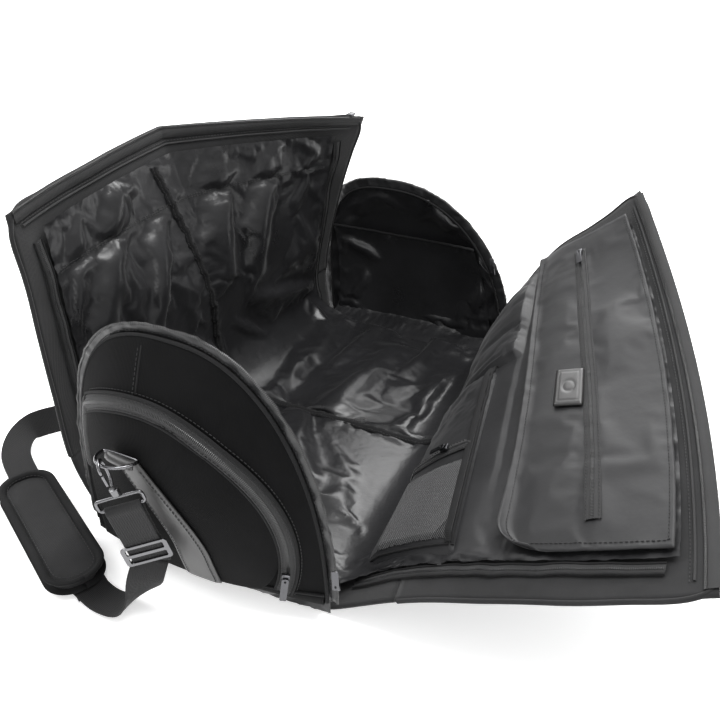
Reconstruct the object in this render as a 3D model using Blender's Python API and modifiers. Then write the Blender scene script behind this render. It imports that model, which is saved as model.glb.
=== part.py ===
"""A convertible garment bag, unzipped and lying open.

The bag zips up into a duffel. Here its two wings are open, its two D-shaped end panels stand up,
and its shoulder strap lies on the ground at the front left. Metres, +Z up. X runs across the bag,
Y along it from the front end (-Y) to the rear end (+Y), and the origin is the middle of the
bottom face.
"""
import math

import bmesh
import bpy
from mathutils import Matrix, Vector

# ---- driving dimensions -------------------------------------------------------------------
LENGTH = 0.600              # along Y, end panel to end panel
WIDTH = 0.310               # across the base
END_HEIGHT_FRONT = 0.305    # how high the front D stands
END_HEIGHT_REAR = 0.252     # the rear D has slumped a little
END_BULGE_FRONT = 0.075
END_BULGE_REAR = 0.040
END_POWER = 2.6             # the D is half a superellipse of this power
END_LEAN_FRONT = -0.018     # sideways lean of a D's top
END_LEAN_REAR = -0.050
FABRIC = 0.0030             # heavy outer fabric with its foam
LINING = 0.0024
TRIM = 0.0016               # zip tapes, net and patch
GAP = 0.0004                # between pieces that lie on each other
LAYER_GAP = 0.0012          # between curved layers, whose flat facets do not match
WEBBING_WIDTH = 0.038
WEBBING = 0.0020
WIRE = 0.0019               # radius of the metal wire in rings and loops

HALF_L = LENGTH / 2
HALF_W = WIDTH / 2
BASE_HALF_W = HALF_W - 0.009
FLOOR_TOP = 0.020
END_FOOT_Z = 0.009          # the lowest edge of a D
END_PLANE = HALF_L + 0.006  # where a D's edge stands

# Wing profiles: points (x, z) from the base edge to the outer edge, at the front end, the middle
# and the rear end of the bag. The left wing stands up, the right one lies back with a twist.
LEFT_PROFILES = (
    ((-0.158, 0.012), (-0.194, 0.095), (-0.198, 0.195), (-0.200, 0.300), (-0.206, 0.404)),
    ((-0.158, 0.012), (-0.194, 0.100), (-0.188, 0.190), (-0.212, 0.300), (-0.246, 0.402)),
    ((-0.158, 0.012), (-0.166, 0.095), (-0.152, 0.185), (-0.125, 0.280), (-0.093, 0.372)),
)
RIGHT_PROFILES = (
    ((0.158, 0.012), (0.243, 0.066), (0.325, 0.104), (0.415, 0.146), (0.509, 0.200)),
    ((0.158, 0.012), (0.205, 0.089), (0.274, 0.154), (0.362, 0.192), (0.455, 0.226)),
    ((0.158, 0.012), (0.170, 0.100), (0.222, 0.203), (0.276, 0.258), (0.331, 0.318)),
)
LEFT_CREASE = 0.50          # where the wing folds, as a fraction of its height
RIGHT_CREASE = 0.36
CREASE_GAP = 0.008
BORDER = 0.07               # fabric border outside the lining, as a fraction of the wing


# ---- scene --------------------------------------------------------------------------------
for old in list(bpy.data.objects):
    bpy.data.objects.remove(old, do_unlink=True)


def new_collection(name):
    group = bpy.data.collections.new(name)
    bpy.context.scene.collection.children.link(group)
    return group


PARTS = new_collection("garment_bag")
GUIDES = new_collection("guides")


def new_material(name, color, roughness, metallic=0.0):
    material = bpy.data.materials.new(name)
    material.use_nodes = True
    shader = material.node_tree.nodes["Principled BSDF"]
    shader.inputs["Base Color"].default_value = (*color, 1.0)
    shader.inputs["Roughness"].default_value = roughness
    shader.inputs["Metallic"].default_value = metallic
    material.diffuse_color = (*color, 1.0)
    return material


def frame_at(name, location, rotation=(0.0, 0.0, 0.0)):
    """An empty that a moving piece hangs on."""
    empty = bpy.data.objects.new(name, None)
    empty.location = location
    empty.rotation_euler = rotation
    GUIDES.objects.link(empty)
    return empty


def add_object(name, data, color, roughness, metallic=0.0, parent=None):
    piece = bpy.data.objects.new(name, data)
    data.materials.append(new_material(name, color, roughness, metallic))
    PARTS.objects.link(piece)
    if parent is not None:
        piece.parent = parent
    return piece


def fabric(name, data, parent=None):
    return add_object(name, data, (0.012, 0.012, 0.013), 0.85, parent=parent)


def satin(name, data, parent=None):
    return add_object(name, data, (0.015, 0.015, 0.016), 0.30, parent=parent)


def strap_cloth(name, data, parent=None):
    return add_object(name, data, (0.025, 0.025, 0.026), 0.75, parent=parent)


def leather(name, data, parent=None):
    return add_object(name, data, (0.020, 0.019, 0.019), 0.40, parent=parent)


def metal(name, data, parent=None):
    return add_object(name, data, (0.30, 0.30, 0.31), 0.25, 1.0, parent=parent)


def smooth(piece, angle=math.radians(40)):
    piece.data.shade_smooth()
    piece.data.set_sharp_from_angle(angle=angle)


# ---- curves through points, and surfaces --------------------------------------------------
def spline_point(points, t):
    """A Catmull-Rom curve through the points, with t from 0 to 1."""
    last = len(points) - 1
    place = min(max(t, 0.0), 1.0) * last
    start = min(int(place), last - 1)
    f = place - start
    b, c = Vector(points[start]), Vector(points[start + 1])
    a = Vector(points[start - 1]) if start > 0 else b * 2 - c
    d = Vector(points[start + 2]) if start + 2 <= last else c * 2 - b
    return 0.5 * (2 * b + (c - a) * f + (2 * a - 5 * b + 4 * c - d) * f ** 2
                  + (3 * b - a - 3 * c + d) * f ** 3)


def wing_surface(profiles):
    """A point on a wing: u from base edge to outer edge, v from front to rear."""
    def point(u, v):
        front, middle, rear = (spline_point(profile, u) for profile in profiles)
        mixed = (front * (2 * (v - 0.5) * (v - 1)) + middle * (4 * v * (1 - v))
                 + rear * (2 * v * (v - 0.5)))
        return Vector((mixed.x, (v - 0.5) * LENGTH, mixed.y))
    return point


def lifted(surface, height):
    """The same surface moved by a height along its normal."""
    step = 0.002

    def point(u, v):
        du = surface(u + step, v) - surface(u - step, v)
        dv = surface(u, v + step) - surface(u, v - step)
        return surface(u, v) + du.cross(dv).normalized() * height
    return point


def surface_normal(surface, u, v):
    step = 0.004
    du = surface(u + step, v) - surface(u - step, v)
    dv = surface(u, v + step) - surface(u, v - step)
    return du.cross(dv).normalized()


def sheet(surface, u_range, v_range, u_count, v_count):
    """An open grid laid on a surface."""
    bm = bmesh.new()
    bmesh.ops.create_grid(bm, x_segments=u_count, y_segments=v_count, size=0.5)
    for vert in bm.verts:
        u = u_range[0] + (vert.co.x + 0.5) * (u_range[1] - u_range[0])
        v = v_range[0] + (vert.co.y + 0.5) * (v_range[1] - v_range[0])
        vert.co = surface(u, v)
    bmesh.ops.remove_doubles(bm, verts=bm.verts, dist=1e-5)
    mesh = bpy.data.meshes.new("sheet")
    bm.to_mesh(mesh)
    bm.free()
    return mesh


def thicken(piece, thickness):
    solid = piece.modifiers.new("thickness", "SOLIDIFY")
    solid.thickness = thickness
    solid.offset = 0.0
    smooth(piece)
    return piece


def ribbon(centres, sides, steps):
    """An open strip: centre points and half-width vectors, both read from smooth curves."""
    def point(u, v):
        side = spline_point(sides, u)
        return spline_point(centres, u) + side * (2 * v - 1)
    return sheet(point, (0, 1), (0, 1), steps, 1)


def surface_ribbon(surface, route, width, steps):
    """An open strip that follows a route of (u, v) points on a surface."""
    def point(s, across):
        def centre(t):
            spot = spline_point([Vector(p) for p in route], t)
            return surface(spot.x, spot.y)
        spot = spline_point([Vector(p) for p in route], s)
        along = (centre(min(s + 0.01, 1)) - centre(max(s - 0.01, 0))).normalized()
        step = 0.004
        du = surface(spot.x + step, spot.y) - surface(spot.x - step, spot.y)
        dv = surface(spot.x, spot.y + step) - surface(spot.x, spot.y - step)
        side = du.cross(dv).cross(along).normalized()
        return centre(s) + side * width * (across - 0.5)
    return sheet(point, (0, 1), (0, 1), steps, 1)


# ---- small solids -------------------------------------------------------------------------
def block(size, bevel=0.0):
    """A centred box, bevelled all round."""
    bm = bmesh.new()
    bmesh.ops.create_cube(bm, size=1.0, matrix=Matrix.Diagonal((*size, 1.0)))
    if bevel:
        bmesh.ops.bevel(bm, geom=bm.edges[:], offset=bevel, segments=2, affect="EDGES", profile=0.5)
    mesh = bpy.data.meshes.new("block")
    bm.to_mesh(mesh)
    bm.free()
    return mesh


def rod(radius, length):
    bm = bmesh.new()
    bmesh.ops.create_cone(bm, cap_ends=True, segments=12, radius1=radius, radius2=radius, depth=length)
    mesh = bpy.data.meshes.new("rod")
    bm.to_mesh(mesh)
    bm.free()
    return mesh


def wire_loop(points, radius, closed=True):
    """A round wire through points; each point is a corner of a poly line."""
    curve = bpy.data.curves.new("wire", "CURVE")
    curve.dimensions = "3D"
    curve.bevel_depth = radius
    curve.bevel_resolution = 2
    curve.use_fill_caps = not closed
    line = curve.splines.new("POLY")
    line.points.add(len(points) - 1)
    for spot, place in zip(line.points, points):
        spot.co = (*place, 1.0)
    line.use_cyclic_u = closed
    return curve


def rounded_rectangle(width, height, radius, corner_steps=3):
    """Corner points of a rectangle with round corners, centred, counter-clockwise."""
    points = []
    for corner in range(4):
        sign_x = 1 if corner in (0, 3) else -1
        sign_y = 1 if corner in (0, 1) else -1
        centre = (sign_x * (width / 2 - radius), sign_y * (height / 2 - radius))
        for step in range(corner_steps + 1):
            angle = math.radians(90 * corner + 90 * step / corner_steps)
            points.append((centre[0] + radius * math.cos(angle), centre[1] + radius * math.sin(angle)))
    return points


def flat_plate(outlines, thickness, bevel=0.0):
    """A plate from flat closed outlines; the ones inside the first are holes."""
    curve = bpy.data.curves.new("plate", "CURVE")
    curve.dimensions = "2D"
    curve.fill_mode = "BOTH"
    curve.extrude = thickness / 2
    curve.bevel_depth = bevel
    for outline in outlines:
        line = curve.splines.new("POLY")
        line.points.add(len(outline) - 1)
        for spot, place in zip(line.points, outline):
            spot.co = (place[0], place[1], 0.0, 1.0)
        line.use_cyclic_u = True
    return curve


# ---- base ---------------------------------------------------------------------------------
def slab(half_x, half_y, low, high, corner):
    """A flat plate with round corners between two heights."""
    plate = flat_plate([rounded_rectangle(half_x * 2, half_y * 2, corner, 5)], high - low)
    return plate, (0.0, 0.0, (low + high) / 2)


def build_base():
    layers = (
        ("base_panel", fabric, BASE_HALF_W, HALF_L - 0.002, 0.0, 0.0050),
        ("base_board", satin, BASE_HALF_W - 0.006, HALF_L - 0.012, 0.0054, 0.0084),
        ("floor_lining", satin, BASE_HALF_W - 0.001, HALF_L - 0.006, 0.0088, FLOOR_TOP),
    )
    for name, finish, half_x, half_y, low, high in layers:
        data, place = slab(half_x, half_y, low, high, 0.030)
        finish(name, data).location = place
    piping = wire_loop([(-0.140, 0, 0), (0.140, 0, 0)], 0.0020, closed=False)
    fabric("floor_piping", piping).location = (0.0, 0.004, FLOOR_TOP + 0.0020 + GAP)


# ---- wings --------------------------------------------------------------------------------
WING_ROOT = 0.03
LEFT_WING = wing_surface(LEFT_PROFILES)
RIGHT_WING = wing_surface(RIGHT_PROFILES)
LEFT_INWARD = 1.0 if surface_normal(LEFT_WING, 0.5, 0.5).x > 0 else -1.0
RIGHT_INWARD = 1.0 if surface_normal(RIGHT_WING, 0.5, 0.5).z > 0 else -1.0


def inner_side(surface, inward):
    """Heights above the outer panel, towards the inside of the bag."""
    return lambda height: lifted(surface, height * inward)


def build_wing(side, surface, inward, crease):
    at_height = inner_side(surface, inward)
    lining_height = (FABRIC + LINING) / 2 + LAYER_GAP
    spans = (("lower", WING_ROOT, crease - CREASE_GAP / 2, 6),
             ("upper", crease + CREASE_GAP / 2, 1.0, 8))
    for part, start, end, rows in spans:
        outer = sheet(surface, (start, end), (0.0, 1.0), rows, 12)
        thicken(fabric(f"{side}_wing_{part}_panel", outer), FABRIC)
        lining_end = min(end, 1.0 - BORDER)
        lining = sheet(at_height(lining_height), (start, lining_end), (BORDER, 1 - BORDER), rows, 10)
        thicken(satin(f"{side}_wing_{part}_lining", lining), LINING)
    tape_height = at_height((FABRIC + TRIM) / 2 + 2 * LAYER_GAP)
    edge = BORDER * 0.52
    start = crease + 0.03
    route = ((start, edge), (0.80, edge), (0.93, edge + 0.005), (1 - edge, 0.12), (1 - edge, 0.50),
             (1 - edge, 0.88), (0.93, 1 - edge - 0.005), (0.80, 1 - edge), (start, 1 - edge))
    tape = surface_ribbon(tape_height, route, 0.012, 40)
    thicken(strap_cloth(f"{side}_zip_tape", tape), TRIM)


def build_zip_stop():
    """The squared end of the main zip at the left wing's rear top corner."""
    stop = metal("left_zip_stop", block((0.010, 0.014, 0.0035), 0.0008))
    spot = LEFT_WING(1.0, 0.97)
    stop.location = spot + Vector((0.002, 0.0, 0.0035))


# ---- garment cover flap on the right wing --------------------------------------------------
FLAP_INNER = RIGHT_CREASE + 0.03
FLAP_SEAM = 0.860
FLAP_ENDS = (0.09, 0.95)
FLAP_HEIGHT = 0.0085
FLAP_ZIP_U = 0.690


def slider_frame(name, place, along, normal):
    """An empty with its X along a zip and its Z off the cloth."""
    along = along.normalized()
    normal = (normal - along * normal.dot(along)).normalized()
    turn = Matrix((along, normal.cross(along), normal)).transposed().to_4x4()
    empty = frame_at(name, (0, 0, 0))
    empty.matrix_world = Matrix.Translation(place) @ turn
    return empty


def slider_body():
    """A zip slider: a rounded block that narrows to one end."""
    bm = bmesh.new()
    bmesh.ops.create_cube(bm, size=1.0, matrix=Matrix.Diagonal((0.0125, 0.0095, 0.0045, 1.0)))
    for vert in bm.verts:
        if vert.co.x < 0:
            vert.co.y *= 0.65
    bmesh.ops.bevel(bm, geom=bm.edges[:], offset=0.0010, segments=2, affect="EDGES", profile=0.5)
    mesh = bpy.data.meshes.new("slider")
    bm.to_mesh(mesh)
    bm.free()
    return mesh


def build_slider(name, place, along, normal, pull_length=0.030):
    """A slider that clears the cloth by a little, and its pull plate, which lies back along it."""
    frame = slider_frame(f"{name}_frame", place, along, normal)
    body = metal(f"{name}_slider", slider_body(), frame)
    body.location = (0.0, 0.0, 0.0030)
    outline = rounded_rectangle(pull_length, 0.0075, 0.0015, 2)
    hole = [(x + pull_length / 2 - 0.004, y) for x, y in rounded_rectangle(0.0035, 0.0020, 0.0008, 2)]
    pull = metal(f"{name}_pull", flat_plate([outline, hole], 0.0012), frame)
    pull.location = (-pull_length / 2 + 0.003, 0.0, 0.0068)


def build_flap():
    above_wing = inner_side(RIGHT_WING, RIGHT_INWARD)
    panel = sheet(above_wing(FLAP_HEIGHT), (FLAP_INNER, FLAP_SEAM), FLAP_ENDS, 7, 11)
    thicken(satin("garment_flap", panel), LINING)
    above = above_wing(FLAP_HEIGHT + LINING / 2 + TRIM / 2 + LAYER_GAP)
    zip_line = surface_ribbon(above, ((FLAP_ZIP_U, 0.15), (FLAP_ZIP_U, 0.50), (FLAP_ZIP_U, 0.90)), 0.022, 12)
    thicken(strap_cloth("flap_zip_tape", zip_line), TRIM)
    patch = sheet(above, (0.535, 0.635), (0.425, 0.515), 2, 2)
    thicken(leather("leather_patch", patch), TRIM)
    top = above_wing(FLAP_HEIGHT + LINING / 2 + 0.0020 + 2 * LAYER_GAP)
    place = top(FLAP_ZIP_U, 0.885)
    along = top(FLAP_ZIP_U, 0.93) - top(FLAP_ZIP_U, 0.84)
    build_slider("flap_zip", place, along, surface_normal(RIGHT_WING, FLAP_ZIP_U, 0.885) * RIGHT_INWARD)


# ---- mesh pocket at the foot of the right wing ----------------------------------------------
MESH_ZIP_V = 0.345
MESH_GUSSET = 0.011         # how far the pocket stands off the lining


def build_mesh_pocket():
    above_wing = inner_side(RIGHT_WING, RIGHT_INWARD)
    lining_top = FABRIC / 2 + LINING + 2 * LAYER_GAP
    gusset = sheet(above_wing(lining_top + MESH_GUSSET / 2), (0.05, 0.30), (0.09, 0.62), 4, 8)
    thicken(satin("mesh_pocket_gusset", gusset), MESH_GUSSET)
    cover_height = lining_top + MESH_GUSSET + LAYER_GAP + TRIM / 2
    cover = above_wing(cover_height)
    thicken(strap_cloth("mesh_pocket_net", sheet(cover, (0.06, 0.29), (0.10, 0.30), 4, 4)), TRIM)
    route = ((0.06, MESH_ZIP_V), (0.17, MESH_ZIP_V), (0.29, MESH_ZIP_V))
    thicken(strap_cloth("mesh_pocket_zip_tape", surface_ribbon(cover, route, 0.020, 6)), TRIM)
    top = above_wing(cover_height + TRIM + LAYER_GAP)
    along = top(0.29, MESH_ZIP_V) - top(0.20, MESH_ZIP_V)
    build_slider("mesh_pocket_zip", top(0.262, MESH_ZIP_V), along,
                 surface_normal(RIGHT_WING, 0.25, MESH_ZIP_V) * RIGHT_INWARD, pull_length=0.024)


# ---- D-shaped end panels --------------------------------------------------------------------
def end_surface(height, bulge, lean, outward):
    """Half a superellipse: t from 0 (right foot) over the top to 1 (left foot), r from 0 to 1."""
    def place(x, z):
        reach = ((abs(x) / HALF_W) ** END_POWER + (z / height) ** END_POWER) ** (1 / END_POWER)
        foot = 0.12 + 0.88 * min(1.0, z / 0.22)
        depth = bulge * (1 - reach ** 2) * foot
        return Vector((x + lean * (z / height) ** 2, outward * (END_PLANE + depth), END_FOOT_Z + z))

    def point(t, r):
        angle = math.pi * min(max(t, 0.0), 1.0)
        c, s = math.cos(angle), math.sin(angle)
        power = 2 / END_POWER
        x = HALF_W * math.copysign(abs(c) ** power, c) * r
        z = height * abs(s) ** power * r
        return place(x, z)
    return place, point


FRONT_PLACE, FRONT_POINT = end_surface(END_HEIGHT_FRONT, END_BULGE_FRONT, END_LEAN_FRONT, -1)
REAR_PLACE, REAR_POINT = end_surface(END_HEIGHT_REAR, END_BULGE_REAR, END_LEAN_REAR, 1)


def moved_out(point, distance, outward):
    """The same D shifted along Y, away from the bag or into it."""
    return lambda a, b: point(a, b) + Vector((0.0, outward * distance, 0.0))


def build_end(end, point, outward):
    outer_shift = FABRIC / 2 + LINING + 2 * LAYER_GAP
    outer = sheet(moved_out(point, outer_shift, outward), (0, 1), (0, 1), 22, 6)
    thicken(fabric(f"{end}_end_panel", outer), FABRIC)
    lining = sheet(moved_out(point, LINING / 2, outward), (0, 1), (0, 1), 22, 6)
    thicken(satin(f"{end}_end_lining", lining), LINING)
    shift = LINING

    def rim(t, across):
        spot = moved_out(point, shift, outward)(t, 1.0)
        radial = (spot - moved_out(point, shift, outward)(t, 0.9)).normalized()
        return spot + radial * (0.0030 + 0.010 * across)
    tape = sheet(rim, (0.015, 0.985), (0, 1), 30, 1)
    thicken(strap_cloth(f"{end}_zip_tape", tape), 0.0020)


def build_rear_pocket():
    """The elastic pocket band across the lower part of the rear end's inner face."""
    def point(t, level):
        x = (0.5 - t) * 1.76 * HALF_W * (1 - 0.16 * level)
        spot = REAR_PLACE(x, 0.010 + 0.165 * level)
        return spot - Vector((0.0, LINING / 2 + 2 * LAYER_GAP, 0.0))
    thicken(satin("rear_pocket_band", sheet(point, (0, 1), (0.0, 1.0), 14, 5)), LINING)
    hem = [point(i / 14, 1.0) + Vector((0.0, -0.0012, 0.0044)) for i in range(15)]
    fabric("rear_pocket_elastic", wire_loop(hem, 0.0022, closed=False))


# ---- outside pocket of the front end --------------------------------------------------------
POCKET_CENTRE = (-0.030, 0.090)
POCKET_RADIUS = 0.150
POCKET_LIFT = FABRIC + LINING + 4 * LAYER_GAP
ZIP_START = math.radians(-20)
ZIP_END = math.radians(128)


def on_front(x, z, lift):
    """A point on the front end's outer face; x as it shows, with the lean taken out."""
    bare = x - END_LEAN_FRONT * (z / END_HEIGHT_FRONT) ** 2
    return FRONT_PLACE(bare, z) + Vector((0.0, -lift, 0.0))


def build_front_pocket():
    thickness = 0.0030
    lift = POCKET_LIFT + thickness / 2
    zip_half = 0.007

    def inside(t, r):
        """Polar from the foot's middle: out to the zip, or to the D's edge where that is nearer."""
        angle = math.pi * t
        direction = (math.cos(angle), math.sin(angle))
        along = direction[0] * POCKET_CENTRE[0] + direction[1] * POCKET_CENTRE[1]
        radius = POCKET_RADIUS - zip_half - GAP
        off = POCKET_CENTRE[0] ** 2 + POCKET_CENTRE[1] ** 2 - along ** 2
        reach = along + math.sqrt(radius ** 2 - off)
        edge = ((abs(direction[0]) / HALF_W) ** END_POWER
                + (direction[1] / END_HEIGHT_FRONT) ** END_POWER) ** (-1 / END_POWER)
        reach = min(reach, edge * 0.90)
        return on_front(direction[0] * reach * r, direction[1] * reach * r, lift)
    panel = sheet(inside, (0.0, 1.0), (0.0, 1.0), 22, 6)
    thicken(fabric("front_pocket_panel", panel), thickness)

    def zip_point(t, across):
        angle = ZIP_START + t * (ZIP_END - ZIP_START)
        radius = POCKET_RADIUS + (across - 0.5) * 2 * (zip_half - GAP)
        x = POCKET_CENTRE[0] + radius * math.cos(angle)
        z = POCKET_CENTRE[1] + radius * math.sin(angle)
        return on_front(x, z, lift)
    tape = sheet(zip_point, (0, 1), (0, 1), 30, 1)
    thicken(strap_cloth("front_pocket_zip_tape", tape), thickness)
    angle = math.radians(-9)
    x = POCKET_CENTRE[0] + POCKET_RADIUS * math.cos(angle)
    z = POCKET_CENTRE[1] + POCKET_RADIUS * math.sin(angle)
    place = on_front(x, z, lift + 0.0045)
    along = Vector((-math.sin(angle), 0.0, math.cos(angle)))
    build_slider("front_pocket_zip", place, along, Vector((0.45, -1.0, 0.0)), pull_length=0.034)


def build_end_sliders():
    """The main zip's sliders, run down to the right foot of each D."""
    front = FRONT_POINT(0.035, 1.0) + Vector((0.0115, -0.0040, 0.0))
    build_slider("front_main_zip", front, Vector((0.03, 0.0, -1.0)), Vector((0.3, -1.0, 0.0)), 0.026)
    rear = REAR_POINT(0.165, 1.0) + Vector((0.0100, -0.0040, 0.0))
    build_slider("rear_main_zip", rear, Vector((0.12, 0.0, -1.0)), Vector((0.2, -1.0, 0.0)), 0.026)


# ---- tabs, rings and snap hooks ---------------------------------------------------------------
TAB_WIDTH = 0.044
TAB_FOOT = 0.008
RING_X = -0.045
RING_Z = 0.188
RING_DROOP = math.radians(-12)


def d_ring(width, depth, radius):
    """A D: the straight bar along X, the bow out along -Y."""
    points = [(width / 2, 0, 0), (-width / 2, 0, 0)]
    for step in range(11):
        angle = math.pi + math.pi * step / 10
        points.append((width / 2 * math.cos(angle), depth * math.sin(angle) - 0.004, 0.0))
    return wire_loop(points, radius)


def build_tab_and_ring(end, outward, foot_x, ring_x, face_at, lift):
    """A leather strip up the middle of a D, and the ring that its folded top holds."""
    def strip(f, across):
        x = foot_x + (ring_x - foot_x) * f + TAB_WIDTH * (across - 0.5)
        return face_at(x, TAB_FOOT + (RING_Z - 0.004 - TAB_FOOT) * f, lift)
    thicken(leather(f"{end}_tab", sheet(strip, (0, 1), (0, 1), 12, 4)), 0.0026)
    bar = face_at(ring_x, RING_Z, lift)
    frame = frame_at(f"{end}_ring_frame", bar + Vector((0.0, outward * 0.0050, 0.0045)),
                     (RING_DROOP, 0.0, 0.0 if outward < 0 else math.pi))
    metal(f"{end}_d_ring", d_ring(0.044, 0.024, WIRE), frame)


def build_hook(end, place, yaw, roll):
    """A swivel snap hook: bow, spring gate, swivel barrel and the eye that holds the strap."""
    frame = frame_at(f"{end}_hook_frame", place, (0.0, roll, yaw))
    bow = [(0, 0.000, -0.0290), (0, 0.0065, -0.0235), (0, 0.0082, -0.0140), (0, 0.0080, -0.0040)]
    for step in range(1, 8):
        angle = math.pi * step / 7
        bow.append((0, 0.0080 * math.cos(angle), -0.0040 + 0.0080 * math.sin(angle)))
    bow.append((0, -0.0080, -0.0065))
    metal(f"{end}_hook_bow", wire_loop(bow, WIRE, closed=False), frame)
    gate = metal(f"{end}_hook_gate", rod(0.0016, 0.0120), frame)
    gate.location = (0.0, -0.0076, -0.0152)
    barrel = metal(f"{end}_hook_barrel", rod(0.0048, 0.0080), frame)
    barrel.location = (0.0, 0.0, -0.0356)
    outline = rounded_rectangle(0.048, 0.014, 0.004)
    eye = metal(f"{end}_hook_eye", wire_loop([(x, 0.0, z) for x, z in outline], WIRE), frame)
    eye.location = (0.0, 0.0, -0.0495)
    return frame


def build_front_hardware():
    lift = POCKET_LIFT + 0.0030 + 0.0013 + LAYER_GAP
    build_tab_and_ring("front", -1, -0.018, RING_X, on_front, lift)
    bar = on_front(RING_X, RING_Z, lift)
    hang = bar + Vector((0.0, -0.0345, 0.0140))
    return build_hook("front", hang, math.radians(32), math.radians(-14))


def build_rear_hardware():
    def face(x, z, lift):
        return REAR_PLACE(x, z) + Vector((0.0, lift, 0.0))
    lift = FABRIC + LINING + 4 * LAYER_GAP + 0.0013
    build_tab_and_ring("rear", 1, 0.0, 0.0, face, lift)
    bar = face(0.0, RING_Z, lift)
    hang = bar + Vector((0.0, 0.0345, -0.0016))
    return build_hook("rear", hang, math.radians(180), 0.0)


# ---- shoulder strap -----------------------------------------------------------------------------
PAD_CENTRE = (-0.209, -0.345)
PAD_YAW = math.radians(-30)
PAD_LENGTH = 0.250
PAD_WIDTH = 0.066
PAD_LOW = 0.0056
PAD_HIGH = 0.0270


def build_pad():
    outline = rounded_rectangle(PAD_LENGTH, PAD_WIDTH, 0.026, 5)
    pad = strap_cloth("strap_pad", flat_plate([outline], PAD_HIGH - PAD_LOW))
    pad.location = (*PAD_CENTRE, (PAD_HIGH + PAD_LOW) / 2)
    pad.rotation_euler = (0.0, 0.0, PAD_YAW)


def build_webbing():
    """The strap on the ground: under the pad, round a loop and behind the left wing to the rear."""
    low = WEBBING / 2 + 0.0010
    route = [(-0.060, -0.431, 0.012), (-0.097, -0.4095, low + 0.001), (-0.150, -0.379, low),
             (-0.209, -0.345, low), (-0.270, -0.310, low), (-0.325, -0.278, low), (-0.372, -0.243, low + 0.004),
             (-0.388, -0.200, low + 0.010), (-0.365, -0.160, low + 0.010), (-0.325, -0.120, low),
             (-0.300, -0.060, low), (-0.292, 0.020, low), (-0.288, 0.120, low), (-0.275, 0.220, low),
             (-0.235, 0.310, low), (-0.160, 0.365, low), (-0.080, 0.392, low)]
    half = WEBBING_WIDTH / 2
    sides = []
    for index in range(len(route)):
        before = Vector(route[max(index - 1, 0)])
        after = Vector(route[min(index + 1, len(route) - 1)])
        along = after - before
        sides.append(Vector((-along.y, along.x, 0.0)).normalized() * half)
    strip = ribbon(route, sides, 60)
    thicken(strap_cloth("strap_webbing", strip), WEBBING)


def build_drop(end, frame, length, with_slide):
    """Doubled webbing that hangs from a hook's eye, with the slide near its lower end."""
    eye_bar = -0.0565
    drop = strap_cloth(f"{end}_strap_drop", block((WEBBING_WIDTH, 0.0044, length), 0.0008), frame)
    drop.location = (0.0, 0.0, eye_bar - WIRE - GAP - length / 2)
    if with_slide:
        outline = rounded_rectangle(0.050, 0.026, 0.004, 3)
        window = rounded_rectangle(0.0405, 0.0075, 0.001, 1)
        windows = [[(x, y + shift) for x, y in window] for shift in (-0.0058, 0.0058)]
        slide = metal("strap_slide", flat_plate([outline] + windows, 0.0024), frame)
        slide.rotation_euler = (math.radians(90), 0.0, 0.0)
        slide.location = (0.0, -0.0022 - 0.0012 - GAP, eye_bar - length + 0.012)


# ---- carry handles ---------------------------------------------------------------------------------
def build_handle(side, surface, outward, u_anchor, reach):
    """A webbing loop sewn to the outside of a wing, hanging flat against it."""
    def face(u, v):
        return lifted(surface, outward * (FABRIC / 2 + 0.0030))(u, v)
    half_span = 0.16            # half the distance between its two ends, along the bag
    route = []
    for step in range(9):
        f = step / 8
        drop = reach * math.sin(math.pi * f) ** 0.7
        route.append(face(u_anchor - drop, 0.5 - half_span + 2 * half_span * f))
    sides = []
    for index in range(len(route)):
        before, after = route[max(index - 1, 0)], route[min(index + 1, len(route) - 1)]
        along = (after - before).normalized()
        normal = surface_normal(surface, u_anchor - reach / 2, 0.5)
        sides.append(normal.cross(along).normalized() * 0.0125)
    thicken(strap_cloth(f"{side}_handle", ribbon(route, sides, 20)), 0.0024)


build_base()
build_wing("left", LEFT_WING, LEFT_INWARD, LEFT_CREASE)
build_wing("right", RIGHT_WING, RIGHT_INWARD, RIGHT_CREASE)
build_zip_stop()
build_flap()
build_mesh_pocket()
build_end("front", FRONT_POINT, -1)
build_end("rear", REAR_POINT, 1)
build_rear_pocket()
build_front_pocket()
build_end_sliders()
build_drop("front", build_front_hardware(), 0.075, True)
build_drop("rear", build_rear_hardware(), 0.060, False)
build_pad()
build_webbing()
build_handle("left", LEFT_WING, -LEFT_INWARD, 0.80, 0.24)
build_handle("right", RIGHT_WING, -RIGHT_INWARD, 0.80, 0.24)
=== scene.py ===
# %% [markdown]
# # A garment bag, opened out
#
# The bag zips up into a duffel and opens into a long flat suit carrier. Here it is open: two lined
# wings, two D-shaped end panels, a garment flap, pockets, and a shoulder strap on the ground. The
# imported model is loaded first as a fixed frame. Everything below is placed from it, in metres, with
# X across the bag, Y along it and Z up.

# %% load the frame
import math

import bmesh
import bpy
import numpy as np
from mathutils import Matrix, Vector, noise


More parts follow.
